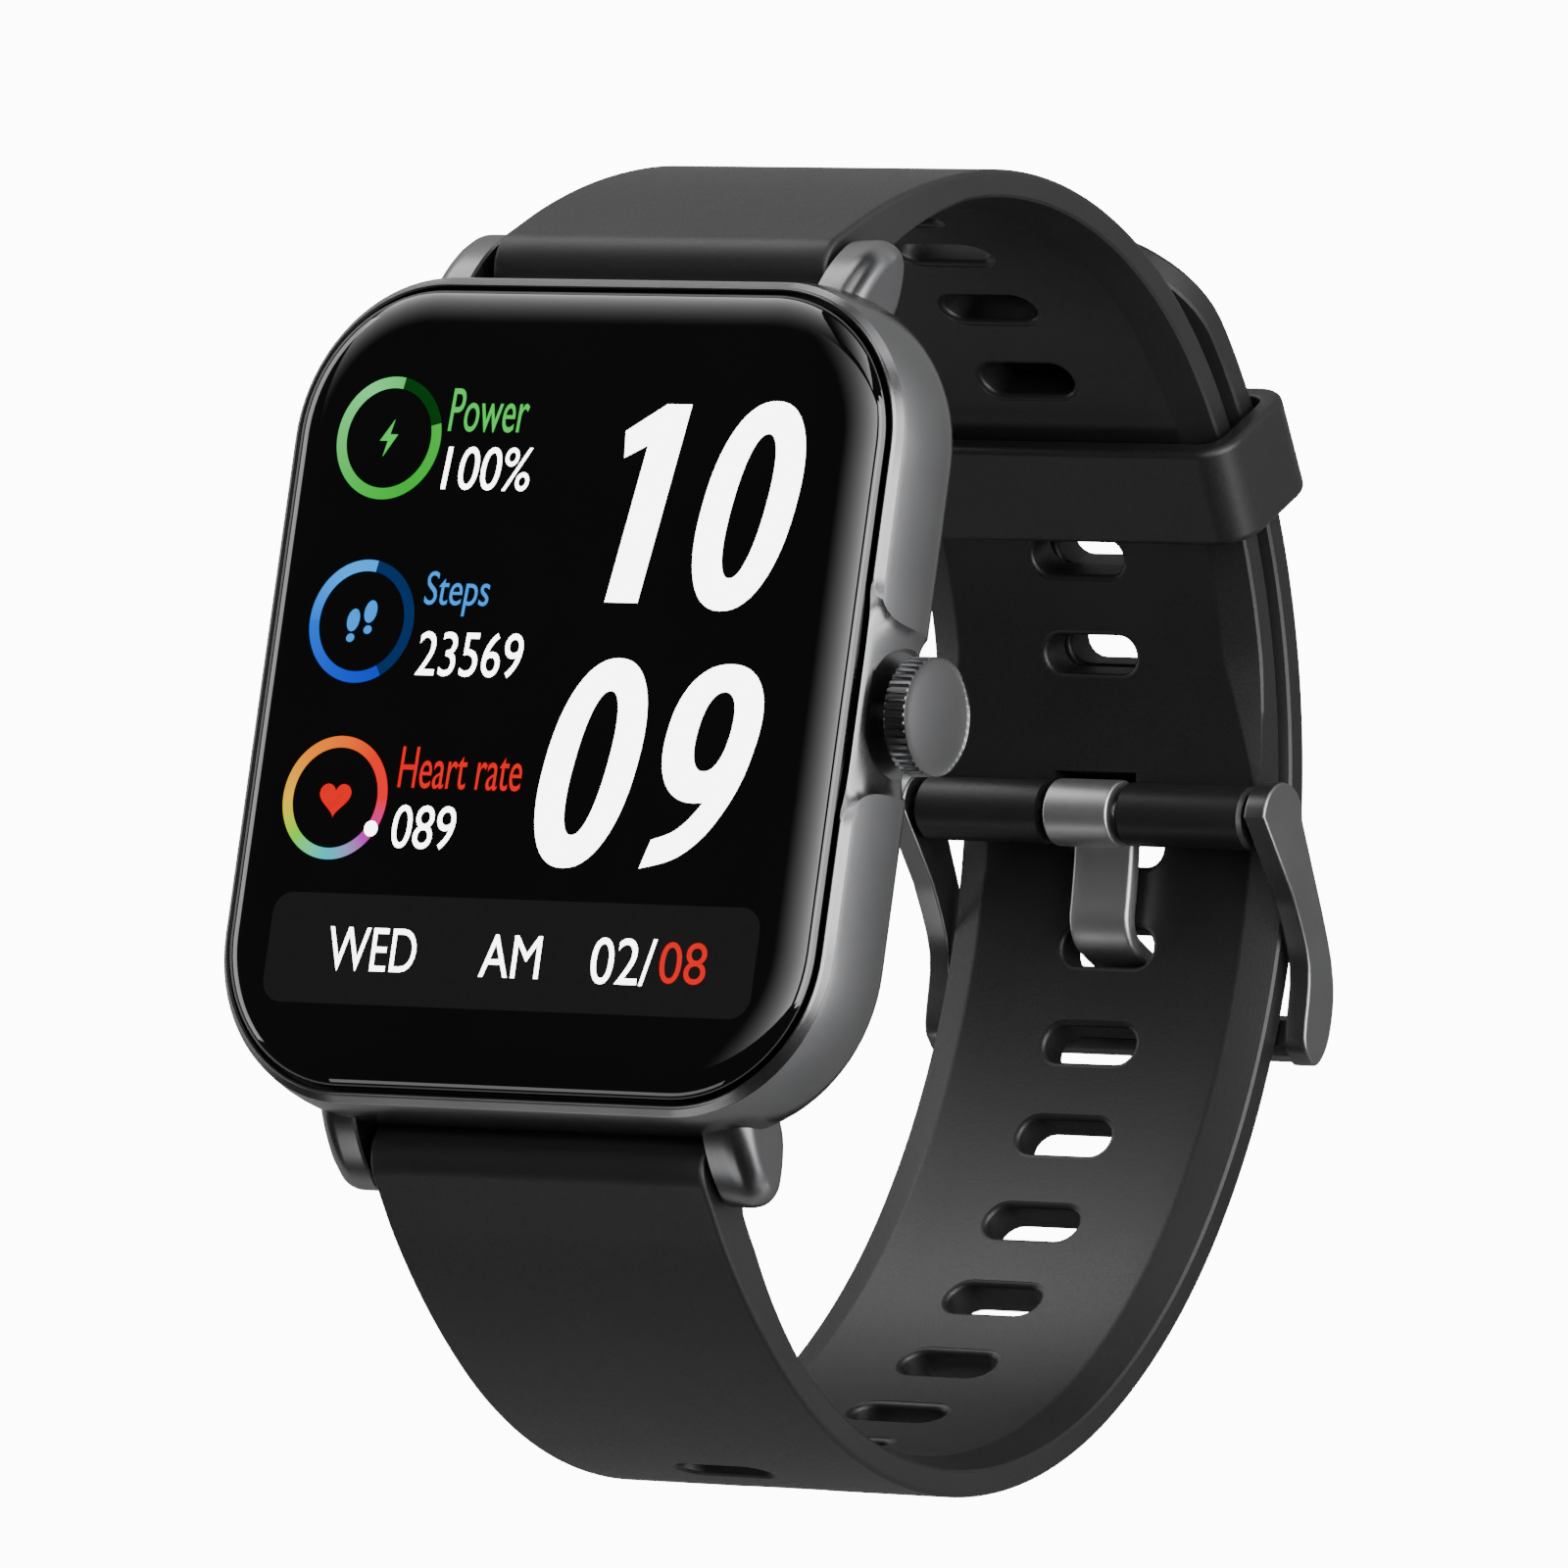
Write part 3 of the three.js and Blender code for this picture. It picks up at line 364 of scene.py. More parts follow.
def round_profile(centre, radius, start, end, steps):
    """Points of an arc in a profile."""
    return [
        (centre[0] + radius * math.cos(a), centre[1] + radius * math.sin(a))
        for a in arc(start, end, steps)
    ]


def turned_z(name, profile, centre=(0, 0), steps=64):
    """A solid of revolution about an upright axis, from (radius, z) pairs off the axis."""
    rings = [
        [Vector((centre[0] + r * math.cos(a), centre[1] + r * math.sin(a), z))
         for a in arc(0, 360 - 360 / steps, steps - 1)]
        for r, z in profile
    ]
    return loft(name, rings)


def turned_x(name, profile, centre, steps=48, loop=False):
    """The same about an axis along X, from (radius, x) pairs; centre is (y, z)."""
    rings = [
        [Vector((x, centre[0] + r * math.cos(a), centre[1] + r * math.sin(a)))
         for a in arc(0, 360 - 360 / steps, steps - 1)]
        for r, x in profile
    ]
    return loft(name, rings, loop)


def smooth(obj, degrees=32, weighted=True):
    """Smooth shading with edges kept sharp past an angle, then normals weighted by area."""
    bm = bmesh.new()
    bm.from_mesh(obj.data)
    limit = math.radians(degrees)
    for face in bm.faces:
        face.smooth = True
    for edge in bm.edges:
        edge.smooth = len(edge.link_faces) == 2 and edge.calc_face_angle(0) < limit
    bm.to_mesh(obj.data)
    bm.free()
    if weighted:
        modifier = obj.modifiers.new("weighted", "WEIGHTED_NORMAL")
        modifier.keep_sharp = True
        modifier.weight = 80
        bake(obj)
    return obj


def dress(obj, material, body, slot, *nodes):
    """Gives a piece its finish and the body it rides on, and hides the frame nodes it stands for."""
    obj.data.materials.clear()
    obj.data.materials.append(material)
    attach(obj, body)
    if nodes:
        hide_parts(*nodes)
    return obj


def catmull(points, steps=6, closed=False):
    """A smooth curve through points of two numbers."""
    out = []
    count = len(points)
    spans = count if closed else count - 1
    for i in range(spans):
        p = [Vector(points[(i + k) % count] if closed else points[min(max(i + k, 0), count - 1)])
             for k in (-1, 0, 1, 2)]
        for step in range(steps):
            t = step / steps
            out.append(0.5 * (
                2 * p[1] + (p[2] - p[0]) * t + (2 * p[0] - 5 * p[1] + 4 * p[2] - p[3]) * t * t
                + (3 * p[1] - p[0] - 3 * p[2] + p[3]) * t ** 3))
    if not closed:
        out.append(Vector(points[-1]))
    return out


# ---- Case ----


def case_side(z):
    """Half width of the case at a height: the bulging side over the rounding into the back."""
    if z < CASE_WIDEST:
        fall = math.sqrt(max(CASE_ROUNDING**2 - (CASE_WIDEST - z) ** 2, 0))
        return CASE_HALF[0] - CASE_ROUNDING + fall
    return CASE_HALF[0] - CASE_BULGE * ((z - CASE_WIDEST) / 2.9) ** 2.2


def case_body():
    lower = [(CASE_HALF[0] - case_side(z), z) for z in
             [CASE_BOTTOM + CASE_ROUNDING * (1 - math.cos(a)) for a in arc(0, 90, 9)]]
    upper = [(CASE_HALF[0] - case_side(z), z) for z in (6.8, 7.4, 8.0, 8.5, 8.9, 9.08)]
    chamfer = [(CHAMFER_INSET, CHAMFER_FOOT), (0.45, 9.16), (0.71, 9.42), (0.75, 9.45)]
    lip = [(0.78, 9.5), (0.84, CASE_TOP), (0.91, CASE_TOP), (0.95, CASE_TOP - 0.06)]
    inside = [(0.95, 8.65), (2.4, 8.6), (2.4, 7.7), (5, 7.7), (5, CASE_BOTTOM)]
    return rounded_shell("case_shell", CASE_HALF, CASE_CORNER,
                         lower + upper + chamfer + lip + inside, loop=True, steps=20, sides=(10, 16))


LUG_INNER, LUG_OUTER = 10.35, 12.9
LUG_SPINE = (Vector((18.2, 6.1)), Vector((22.8, 4.1)))


def nearest_on(a, b, p):
    share = (p - a).dot(b - a) / (b - a).length_squared
    return a + (b - a) * min(max(share, 0), 1)


def lug(side, end):
    """A finger with a flat inner face and top, rounded over its outer side and its tip."""
    outline = catmull([
        (17.6, 8.45), (19.5, 7.85), (21.3, 7.1), (22.8, 6.05), (23.9, 4.9), (24.4, 3.9), (24.2, 3.0),
        (23.4, 2.45), (22.2, 2.4), (20.6, 2.7), (19.2, 3.6), (17.6, 4.6),
    ], 4, closed=True)
    rounding = 1.35
    stations = [(LUG_INNER, 0.12), (LUG_INNER + 0.12, 0)]
    stations += [
        (LUG_OUTER - rounding + rounding * math.sin(a), rounding * 0.9 * (1 - math.cos(a)))
        for a in arc(0, 84, 9)
    ]
    rings = []
    for x, inset in stations:
        ring = []
        for p in outline:
            goal = nearest_on(*LUG_SPINE, p)
            reach = (goal - p).length
            q = p.lerp(goal, min(inset / reach, 0.92))
            ring.append(Vector((side * x, end * q.x, q.y)))
        rings.append(ring)
    return loft("lug", rings)


RECESS_RADIUS = 3.3
RECESS_FLOOR = 17.9
HOLLOW_HALF = 4.1  # half its length low on the side
HOLLOW_EDGE = 17.85  # where its face meets the bezel
HOLLOW_SLOPE = 0.5
HOLLOW_DEPTH = 0.45  # the least it takes off the side
PAST_CASE = 24


def hollow_row(z, shares):
    """The hollow's face at one height: even along its length, and steep at its two ends."""
    drop = 9.5 - z
    reach = HOLLOW_HALF + 1.6 * math.exp(-max(drop, 0) / 0.55) + 0.3 * math.exp(-drop / 2)
    side = case_side(z) if z > CASE_BOTTOM else CASE_HALF[0] - CASE_ROUNDING
    if z > 9.08:
        side = CASE_HALF[0] - CHAMFER_INSET - (z - CHAMFER_FOOT)
    depth = max(HOLLOW_DEPTH, side - (HOLLOW_EDGE + HOLLOW_SLOPE * (9.3 - z)))
    deepest = RECESS_FLOOR - 1.2
    return [Vector((max(side - depth * (1 - abs(share) ** 8), deepest), share * reach, z))
            for share in shares]


def crown_pinch():
    """What the shallow hollow round the crown takes from the case's side."""
    heights = [2.6 + 7.6 * i / 36 for i in range(37)]
    shares = [-1.14 + 2.28 * i / 48 for i in range(49)]
    surface = [point for z in heights for point in hollow_row(z, shares)]
    columns, rows = len(shares), len(heights)
    outer = [Vector((PAST_CASE, p.y, p.z)) for p in surface]
    faces = []
    for i in range(rows - 1):
        for j in range(columns - 1):
            a = i * columns + j
            quad = (a, a + 1, a + columns + 1, a + columns)
            faces.append(quad)
            faces.append(tuple(rows * columns + k for k in reversed(quad)))
    rim = list(range(columns))
    rim += [i * columns + columns - 1 for i in range(1, rows)]
    rim += [(rows - 1) * columns + j for j in range(columns - 2, -1, -1)]
    rim += [i * columns for i in range(rows - 2, 0, -1)]
    for i, a in enumerate(rim):
        b = rim[(i + 1) % len(rim)]
        faces.append((a, b, b + rows * columns, a + rows * columns))
    return new_object("pinch", surface + outer, faces)


def make_case():
    body = case_body()
    for side in (-1, 1):
        for end in (-1, 1):
            add(body, lug(side, end))
    carve(
        body,
        crown_pinch(),
        turned_x("recess", [
            (RECESS_RADIUS - 0.15, RECESS_FLOOR), (RECESS_RADIUS, RECESS_FLOOR + 0.1),
            (RECESS_RADIUS, 22)], (0, CROWN_Z), 96),
        turned_x("bore", [(1.3, 12), (1.3, 19)], (0, CROWN_Z)),
    )
    smooth(body, 28)
    dress(body, CASE_METAL, "case", "case_metal", "mid_frame")


# ---- Glass and display ----

GLASS_HALF = (GLASS_HIGH.x, GLASS_HIGH.y)
GLASS_TOP = GLASS_HIGH.z
DOME_WIDTH = 2.3
DOME_HEIGHT = 0.92


def make_glass():
    profile = [(0.08, GLASS_LOW.z), (0, GLASS_LOW.z + 0.08)]
    profile += [
        (DOME_WIDTH * (1 - math.cos(a)), GLASS_TOP - DOME_HEIGHT * (1 - math.sin(a)))
        for a in arc(0, 90, 16)
    ]
    glass = rounded_shell("glass", GLASS_HALF, GLASS_CORNER, profile, steps=24, sides=(4, 6))
    smooth(glass, 40)
    dress(glass, GLASS, "case", "cover_glass", "glass_cover")


def joined(name, objects):
    """One object holding the meshes of several."""
    bm = bmesh.new()
    for obj in objects:
        bm.from_mesh(obj.data)
        bpy.data.objects.remove(obj)
    mesh = bpy.data.meshes.new(name)
    bm.to_mesh(mesh)
    bm.free()
    obj = bpy.data.objects.new(name, mesh)
    bpy.context.scene.collection.objects.link(obj)
    return obj


INK = 0.02
INK_BASE = GLASS_TOP - 0.005


def flat_shape(name, outline, z=None, thickness=INK, offset=(0, 0)):
    """A thin closed plate from an outline on the face of the glass."""
    bottom = INK_BASE if z is None else z
    rings = [
        [Vector((x + offset[0], y + offset[1], bottom + h)) for x, y in outline]
        for h in (0, thickness)
    ]
    return loft(name, rings)


def text_shape(text, box, slant=0.0):
    """Characters fitted to a box (x0, y0, x1, y1) on the face of the glass."""
    curve = bpy.data.curves.new("text", "FONT")
    curve.body = text
    curve.size = 1
    curve.resolution_u = 5
    curve.extrude = 0.01
    obj = bpy.data.objects.new("text", curve)
    bpy.context.scene.collection.objects.link(obj)
    depsgraph = bpy.context.evaluated_depsgraph_get()
    mesh = bpy.data.meshes.new_from_object(obj.evaluated_get(depsgraph))
    bpy.data.objects.remove(obj)
    for v in mesh.vertices:
        v.co.x += slant * v.co.y
    low = [min(v.co[i] for v in mesh.vertices) for i in range(3)]
    high = [max(v.co[i] for v in mesh.vertices) for i in range(3)]
    x0, y0, x1, y1 = box
    for v in mesh.vertices:
        v.co = Vector((
            x0 + (v.co.x - low[0]) / (high[0] - low[0]) * (x1 - x0),
            y0 + (v.co.y - low[1]) / (high[1] - low[1]) * (y1 - y0),
            INK_BASE + (v.co.z - low[2]) / (high[2] - low[2]) * INK,
        )) * MM
    made = bpy.data.objects.new("text", mesh)
    bpy.context.scene.collection.objects.link(made)
    tidy_faces(made)
    return made


def ring_plate(name, centre, inner, outer, start, end, steps=60):
    """Part of a flat ring, standing at its own centre so that its colours turn about it."""
    angles = arc(start, end, steps)
    full = abs(end - start) >= 360
    low = INK_BASE - GLASS_TOP
    high = low + INK
    verts, faces = [], []
    if full:
        angles = angles[:-1]
    for a in angles:
        c, s = math.cos(a), math.sin(a)
        verts += [Vector((inner * c, inner * s, low)), Vector((outer * c, outer * s, low)),
                  Vector((outer * c, outer * s, high)), Vector((inner * c, inner * s, high))]
    count = len(angles)
    for i in range(count if full else count - 1):
        a, b = 4 * i, 4 * ((i + 1) % count)
        for j in range(4):
            k = (j + 1) % 4
            faces.append((a + j, a + k, b + k, b + j))
    if not full:
        last = 4 * (count - 1)
        faces.append((3, 2, 1, 0))
        faces.append((last, last + 1, last + 2, last + 3))
    obj = new_object(name, verts, faces)
    obj.location = Vector((centre[0], centre[1], GLASS_TOP)) * MM
    return obj


RING_INNER, RING_OUTER = 2.55, 3.13
RINGS = {"power": (-11.53, 12.46), "steps": (-11.64, 3.12), "heart": (-11.75, -5.85)}
WHITE_TEXTS = [
    ("100%", (-8.0, 9.9, -2.75, 12.1), 0.1),
    ("23569", (-8.0, 0.45, -1.7, 2.7), 0.05),
    ("089", (-8.05, -8.3, -4.3, -6.1), 0.05),
    ("WED", (-10.9, -14.55, -5.6, -12.35), 0.0),
    ("AM", (-1.7, -14.6, 1.85, -12.45), 0.0),
    ("02/", (4.9, -14.75, 8.65, -12.4), 0.0),
]
DIGIT_SLANT = 0.165


def superellipse(half_x, half_y, power=2.25, steps=56, centre=(0, 0)):
    points = []
    for a in arc(0, 360 - 360 / steps, steps - 1):
        c, s = math.cos(a), math.sin(a)
        points.append((centre[0] + half_x * math.copysign(abs(c) ** (2 / power), c),
                       centre[1] + half_y * math.copysign(abs(s) ** (2 / power), s)))
    return points


def digit(outlines, holes, foot):
    """A leaning plate from overlapping outlines with holes in them; foot is its lower left."""
    def lean(points):
        return [(foot[0] + x + DIGIT_SLANT * y, foot[1] + y) for x, y in points]

    plates = [flat_shape("digit", lean(points)) for points in outlines]
    plate = add(plates[0], *plates[1:])
    return carve(plate, *[
        flat_shape("counter", lean(points), GLASS_TOP - 1, 2) for points in holes])


def zero(foot):
    return digit([superellipse(2.75, 5.3, centre=(2.55, 5.25))],
                 [superellipse(1.0, 3.65, centre=(2.55, 5.25))], foot)


def one(foot):
    return digit([[(0, 0), (1.95, 0), (1.95, 10.05), (0.5, 10.05), (-1.55, 8.65), (-1.2, 7.3),
                   (0, 7.95)]], [], foot)


def nine(foot):
    tail = [(5.1, 7.0), (5.05, 5.4), (4.6, 3.6), (3.6, 1.75), (2.2, 0.55), (0.3, 0.0)]
    inside = [(0.55, 1.45), (1.8, 1.95), (2.75, 3.0), (3.25, 4.2), (3.6, 6.9)]
    outline = [tuple(p) for p in catmull(tail, 5)] + [tuple(p) for p in catmull(inside, 5)]
    bowl = superellipse(2.7, 3.5, centre=(2.45, 6.85))
    return digit([bowl, outline], [superellipse(0.98, 2.0, centre=(2.5, 6.95))], foot)


def bolt_outline(scale=1.0):
    points = [(0.25, 1.0), (-0.55, -0.15), (-0.05, -0.15), (-0.25, -1.0), (0.55, 0.2), (0.05, 0.2)]
    return [(scale * x, scale * y) for x, y in points]


def heart_outline(width, steps=40):
    points = []
    for a in arc(0, 360 - 360 / steps, steps - 1):
        x = 16 * math.sin(a) ** 3
        y = 13 * math.cos(a) - 5 * math.cos(2 * a) - 2 * math.cos(3 * a) - math.cos(4 * a)
        points.append((x / 32 * width, y / 32 * width))
    return points


def oval(cx, cy, rx, ry, steps=20, lean=0.0):
    return [(cx + rx * math.cos(a) + lean * ry * math.sin(a), cy + ry * math.sin(a))
            for a in arc(0, 360 - 360 / steps, steps - 1)]


def make_display():
    white = lit("display_white", [(1.0, 1.0, 1.0)], 7.0, flat=0.96)
    green = lit("display_green", [(0.03, 0.6, 0.06)], 1.5)
    blue = lit("display_blue", [(0.01, 0.26, 0.85)], 1.5)
    red = lit("display_red", [(0.85, 0.0, 0.002)], 1.3)
    bar = lit("display_bar", [(0.0125, 0.0125, 0.0125)])
    green_ring = lit("display_green_ring", [
        (0.08, 0.6, 0.12), (0.02, 0.5, 0.04), (0.01, 0.42, 0.02), (0.02, 0.45, 0.03),
        (0.03, 0.5, 0.05), (0.12, 0.75, 0.2), (0.08, 0.6, 0.12)], 1.4, around=True)
    blue_ring = lit("display_blue_ring", [
        (0.0, 0.12, 0.7), (0.0, 0.05, 0.6), (0.0, 0.03, 0.5), (0.0, 0.1, 0.6),
        (0.01, 0.3, 0.85), (0.01, 0.32, 0.95), (0.0, 0.14, 0.75)], 1.5, around=True)
    heart_ring = lit("display_heart_ring", [
        (0.95, 0.5, 0.0), (0.15, 0.75, 0.01), (0.01, 0.5, 0.6), (0.45, 0.02, 0.45),
        (0.9, 0.0, 0.01), (0.9, 0.01, 0.0), (0.95, 0.14, 0.0), (0.95, 0.25, 0.0),
        (0.95, 0.5, 0.0)], 1.4, around=True)
    dim_green = lit("display_dim_green", [(0.003, 0.06, 0.006)])
    dim_blue = lit("display_dim_blue", [(0.001, 0.03, 0.14)])

    texts = [text_shape(*row) for row in WHITE_TEXTS]
    texts += [one((2.75, 4.4)), zero((7.1, 4.15)), zero((-0.15, -8.95)), nine((6.65, -8.9))]
    dot = flat_shape("dot", oval(-9.33, -7.35, 0.4, 0.4), GLASS_TOP + 0.01)
    pieces = [
        (joined("display_white_marks", texts + [dot]), white),
        (joined("display_green_marks", [
            text_shape("Power", (-8.05, 12.85, -3.3, 15.05), 0.08),
            flat_shape("bolt", bolt_outline(0.95), offset=RINGS["power"])]), green),
        (joined("display_blue_marks", [
            text_shape("Steps", (-8.05, 3.5, -4.2, 5.75), 0.08)] + [
            flat_shape("foot", oval(RINGS["steps"][0] + x, RINGS["steps"][1] + y, rx, ry, 20, 0.1))
            for x, y, rx, ry in (
                (-0.5, 0.05, 0.37, 0.58), (-0.55, -0.85, 0.24, 0.22),
                (0.48, 0.5, 0.37, 0.58), (0.43, -0.42, 0.24, 0.22))]), blue),
        (joined("display_red_marks", [
            text_shape("Heart rate", (-8.1, -5.25, -0.75, -3.15), 0.04),
            text_shape("08", (8.95, -14.6, 11.7, -12.5)),
            flat_shape("heart", heart_outline(1.9), offset=RINGS["heart"])]), red),
        (flat_shape("display_bar_plate", [
            (p.x, p.y - 13.45) for p in rounded_ring(14.55, 2.78, 1.15, 0, 8, (2, 2))],
            GLASS_TOP - 0.015), bar),
        (ring_plate("display_power_ring", RINGS["power"], RING_INNER, RING_OUTER, 80, 375), green_ring),
        (ring_plate("display_power_rest", RINGS["power"], RING_INNER, RING_OUTER, 16, 79), dim_green),
        (ring_plate("display_steps_ring", RINGS["steps"], RING_INNER, RING_OUTER, 80, 300), blue_ring),
        (ring_plate("display_steps_rest", RINGS["steps"], RING_INNER, RING_OUTER, -59, 79), dim_blue),
        (ring_plate("display_heart_ring", RINGS["heart"], RING_INNER, RING_OUTER, 0, 360, 80),
         heart_ring),
    ]
    for obj, material in pieces:
        dress(obj, material, "case", "display")


# ---- Back ----


COVER_EDGE = 1.2
BOSS_RADIUS, BOSS_FILLET = 13.0, 0.5


def middle_of(node):
    low, high = box_mm(node)
    return (low.x + high.x) / 2, (low.y + high.y) / 2


def make_back():
    half = (BACK_HIGH.x, BACK_HIGH.y)
    profile = [(0.0, BACK_HIGH.z), (0.0, 2.2)]
    profile += round_profile((COVER_EDGE, 2.2), COVER_EDGE, 190, 270, 8)
    cover = rounded_shell("back_shell", half, 5.5, profile, steps=16, sides=(4, 6))
    boss_edge = round_profile((BOSS_RADIUS - BOSS_FILLET, 0.7), BOSS_FILLET, -10, -90, 5)
    add(cover, turned_z("boss", [
        (BOSS_RADIUS, 1.5), (BOSS_RADIUS, 0.75), *boss_edge, (9.4, BACK_LOW.z)], steps=96))
    seat = WINDOW_RADIUS + 0.12
    carve(cover, turned_z("seat", [(seat, -1), (seat, 0.85)], steps=96))
    for number in range(1, 5):
        carve(cover, turned_z("hole", [
            (1.6, 0), (1.6, 0.98), (1.38, 1.15), (1.35, 3.05)], middle_of(f"case_screw_{number}"), 32))
    for number in range(1, 3):
        carve(cover, turned_z(
            "hole", [(1.12, 0), (1.0, 0.35), (1.0, 3.0)], middle_of(f"charge_pin_{number}"), 32))
    smooth(cover, 30)
    dress(cover, COVER_PLASTIC, "case", "cover_plastic", "back_cover")

    window = turned_z("back_window", [
        (8.6, 0.8), (WINDOW_RADIUS, 0.75), (WINDOW_RADIUS, 0.2),
        *round_profile((WINDOW_RADIUS - 0.2, 0.2), 0.2, -15, -90, 5)], steps=96)
    smooth(window, 35)
    dress(window, WINDOW, "case", "window", "sensor_window")


# ---- Crown ----


CROWN_TEETH, STEPS_PER_TOOTH = 44, 8
KNURL_LENGTH = 1.4
CROWN_SHOULDER = 0.3
FACE_DOME = 0.3


def knurl_depth(step):
    """How deep the knurl is at a step of a tooth, from a bevel into a groove."""
    phase = step / STEPS_PER_TOOTH
    if 0.58 <= phase < 0.95:
        return 0.16
    return 0.06 if phase == 0.5 else 0.0


def make_crown():
    inner, outer = CROWN_LOW.x, CROWN_HIGH.x
    end = inner + KNURL_LENGTH
    stations = [(inner, 0.3, 0.0), (inner + 0.12, 0.12, 1.0), (inner + 0.2, 0.0, 1.0),
                (end - 0.06, 0.0, 1.0), (end - 0.02, 0.03, 0.6),
                (end, 0.06, 0.0), (end + 0.05, 0.02, 0.0)]
    shoulder = outer - CROWN_SHOULDER - end - 0.05
    stations += [(end + 0.05 + shoulder * math.sin(a), CROWN_SHOULDER * (1 - math.cos(a)), 0.0)
                 for a in arc(15, 80, 6)]
    rim = CROWN_RADIUS - CROWN_SHOULDER - 0.04
    stations += [(outer - 0.01 - FACE_DOME * s * s, CROWN_RADIUS - rim * s, 0.0)
                 for s in (0.97, 0.9, 0.75, 0.55, 0.35, 0.1)]
    rings = []
    for x, inset, knurl in stations:
        ring = []
        for i in range(CROWN_TEETH * STEPS_PER_TOOTH):
            r = CROWN_RADIUS - inset - knurl_depth(i % STEPS_PER_TOOTH) * knurl
            a = math.tau * i / (CROWN_TEETH * STEPS_PER_TOOTH)
            ring.append(Vector((x, r * math.cos(a), CROWN_Z + r * math.sin(a))))
        rings.append(ring)
    crown = loft("crown", rings)
    smooth(crown, 34)
    dress(crown, CASE_METAL, "crown", "case_metal", "crown_cap")


# ---- Strap ----


def tangent_arcs(centre, start, arcs):
    """(centre, radius, first angle, last angle) of tangent arcs that follow each other."""
    chain = []
    angle = math.radians(start)
    middle = Vector(centre)
    for i, (radius, end) in enumerate(arcs):
        if i:
            out = Vector((math.cos(angle), math.sin(angle)))
            middle = middle + out * (arcs[i - 1][0] - radius)
        chain.append((middle.copy(), radius, angle, math.radians(end)))
        angle = math.radians(end)
    return chain


SHORT_CHAIN = tangent_arcs(OVERLAP_CENTRE, SHORT_START, SHORT_ARCS)
LONG_CHAIN = tangent_arcs(SHORT_CHAIN[1][0], LONG_START, LONG_ARCS)


def chain_length(chain):
    return sum(abs(last - first) * (radius - STRAP_THICKNESS / 2)
               for _, radius, first, last in chain)


def on_chain(chain, distance):
    """The outer face's point and outward direction at a distance along the band's middle."""
    left = distance
    for i, (centre, radius, first, last) in enumerate(chain):
        middle = radius - STRAP_THICKNESS / 2
        length = abs(last - first) * middle
        if left <= length or i == len(chain) - 1:
            angle = first + math.copysign(left / middle, last - first)
            out = Vector((math.cos(angle), math.sin(angle)))
            return centre + out * radius, out
        left -= length
    raise ValueError("past the end of the band")


def strap_section(outer, inner, half, fillet, bevel_wide, bevel_deep):
    """The ring of a strap's section: a flat outer face, and an inner face bevelled at its edges."""
    thick = (outer - inner).length
    up = (outer - inner) / thick
    fillet = min(fillet, thick * 0.3, half * 0.3)
    bevel_deep = min(bevel_deep, thick * 0.4)
    bevel_wide = min(bevel_wide, half * 0.6)
    points = []
    flat = half - fillet
    columns = 10
    points += [(-flat + 2 * flat * i / columns, thick) for i in range(columns + 1)]
    points += [(flat + fillet * math.sin(a), thick - fillet * (1 - math.cos(a)))
               for a in arc(22, 90, 3)]
    edge = half - bevel_wide
    points += [(half, bevel_deep + 0.3 * fillet), (half - 0.06 * bevel_wide, 0.92 * bevel_deep)]
    points += [(edge + 0.1 * bevel_wide, 0.08 * bevel_deep)]
    inner_half = edge - 0.06 * bevel_wide
    points += [(inner_half - 2 * inner_half * i / columns, 0) for i in range(columns + 1)]
    points += [(-(edge + 0.1 * bevel_wide), 0.08 * bevel_deep)]
    points += [(-(half - 0.06 * bevel_wide), 0.92 * bevel_deep), (-half, bevel_deep + 0.3 * fillet)]
    points += [(-(flat + fillet * math.sin(a)), thick - fillet * (1 - math.cos(a)))
               for a in arc(90, 22, 3)]
    return [Vector((x, *(inner + up * w))) for x, w in points]


def slot_rings(chain, distance):
    """A slot's cutter, flared where it meets the two faces."""
    face, out = on_chain(chain, distance)
    along = Vector((-out.y, out.x))
    flare = 0.28
    depths = [(-1.0, flare + 0.4)]
    depths += [(flare * (1 - math.cos(a)), flare * (1 - math.sin(a))) for a in arc(0, 90, 4)]
    inner = [(STRAP_THICKNESS - d, g) for d, g in reversed(depths)]
    rings = []
    for depth, grow in depths + inner:
        radius = SLOT_WIDTH / 2 + grow
        straight = (SLOT_LENGTH - SLOT_WIDTH) / 2
        ring = []
        for side, start in ((1, -90), (-1, 90)):
            for a in arc(start, start + 180, 10):
                x = side * straight + radius * math.cos(a)
                place = face - out * depth + along * radius * math.sin(a)
                ring.append(Vector((x, place.x, place.y)))
        rings.append(ring)
    return rings


def slots_cutter(chain, distances):
    return joined("slots", [loft("slot", slot_rings(chain, d)) for d in distances])


def boss_stations(chain, bar, radius):
    """Pairs of outer and inner points that carry a band round its moulded end."""
    _, _, first, last = chain[-1]
    outward = last
    turn = math.copysign(1, last - first)
    pairs = []
    for a in arc(0, 84, 13):
        over = outward + turn * a
        under = outward + turn * (math.pi - a)
        pairs.append((bar + radius * Vector((math.cos(over), math.sin(over))),
                      bar + radius * Vector((math.cos(under), math.sin(under)))))
    return pairs


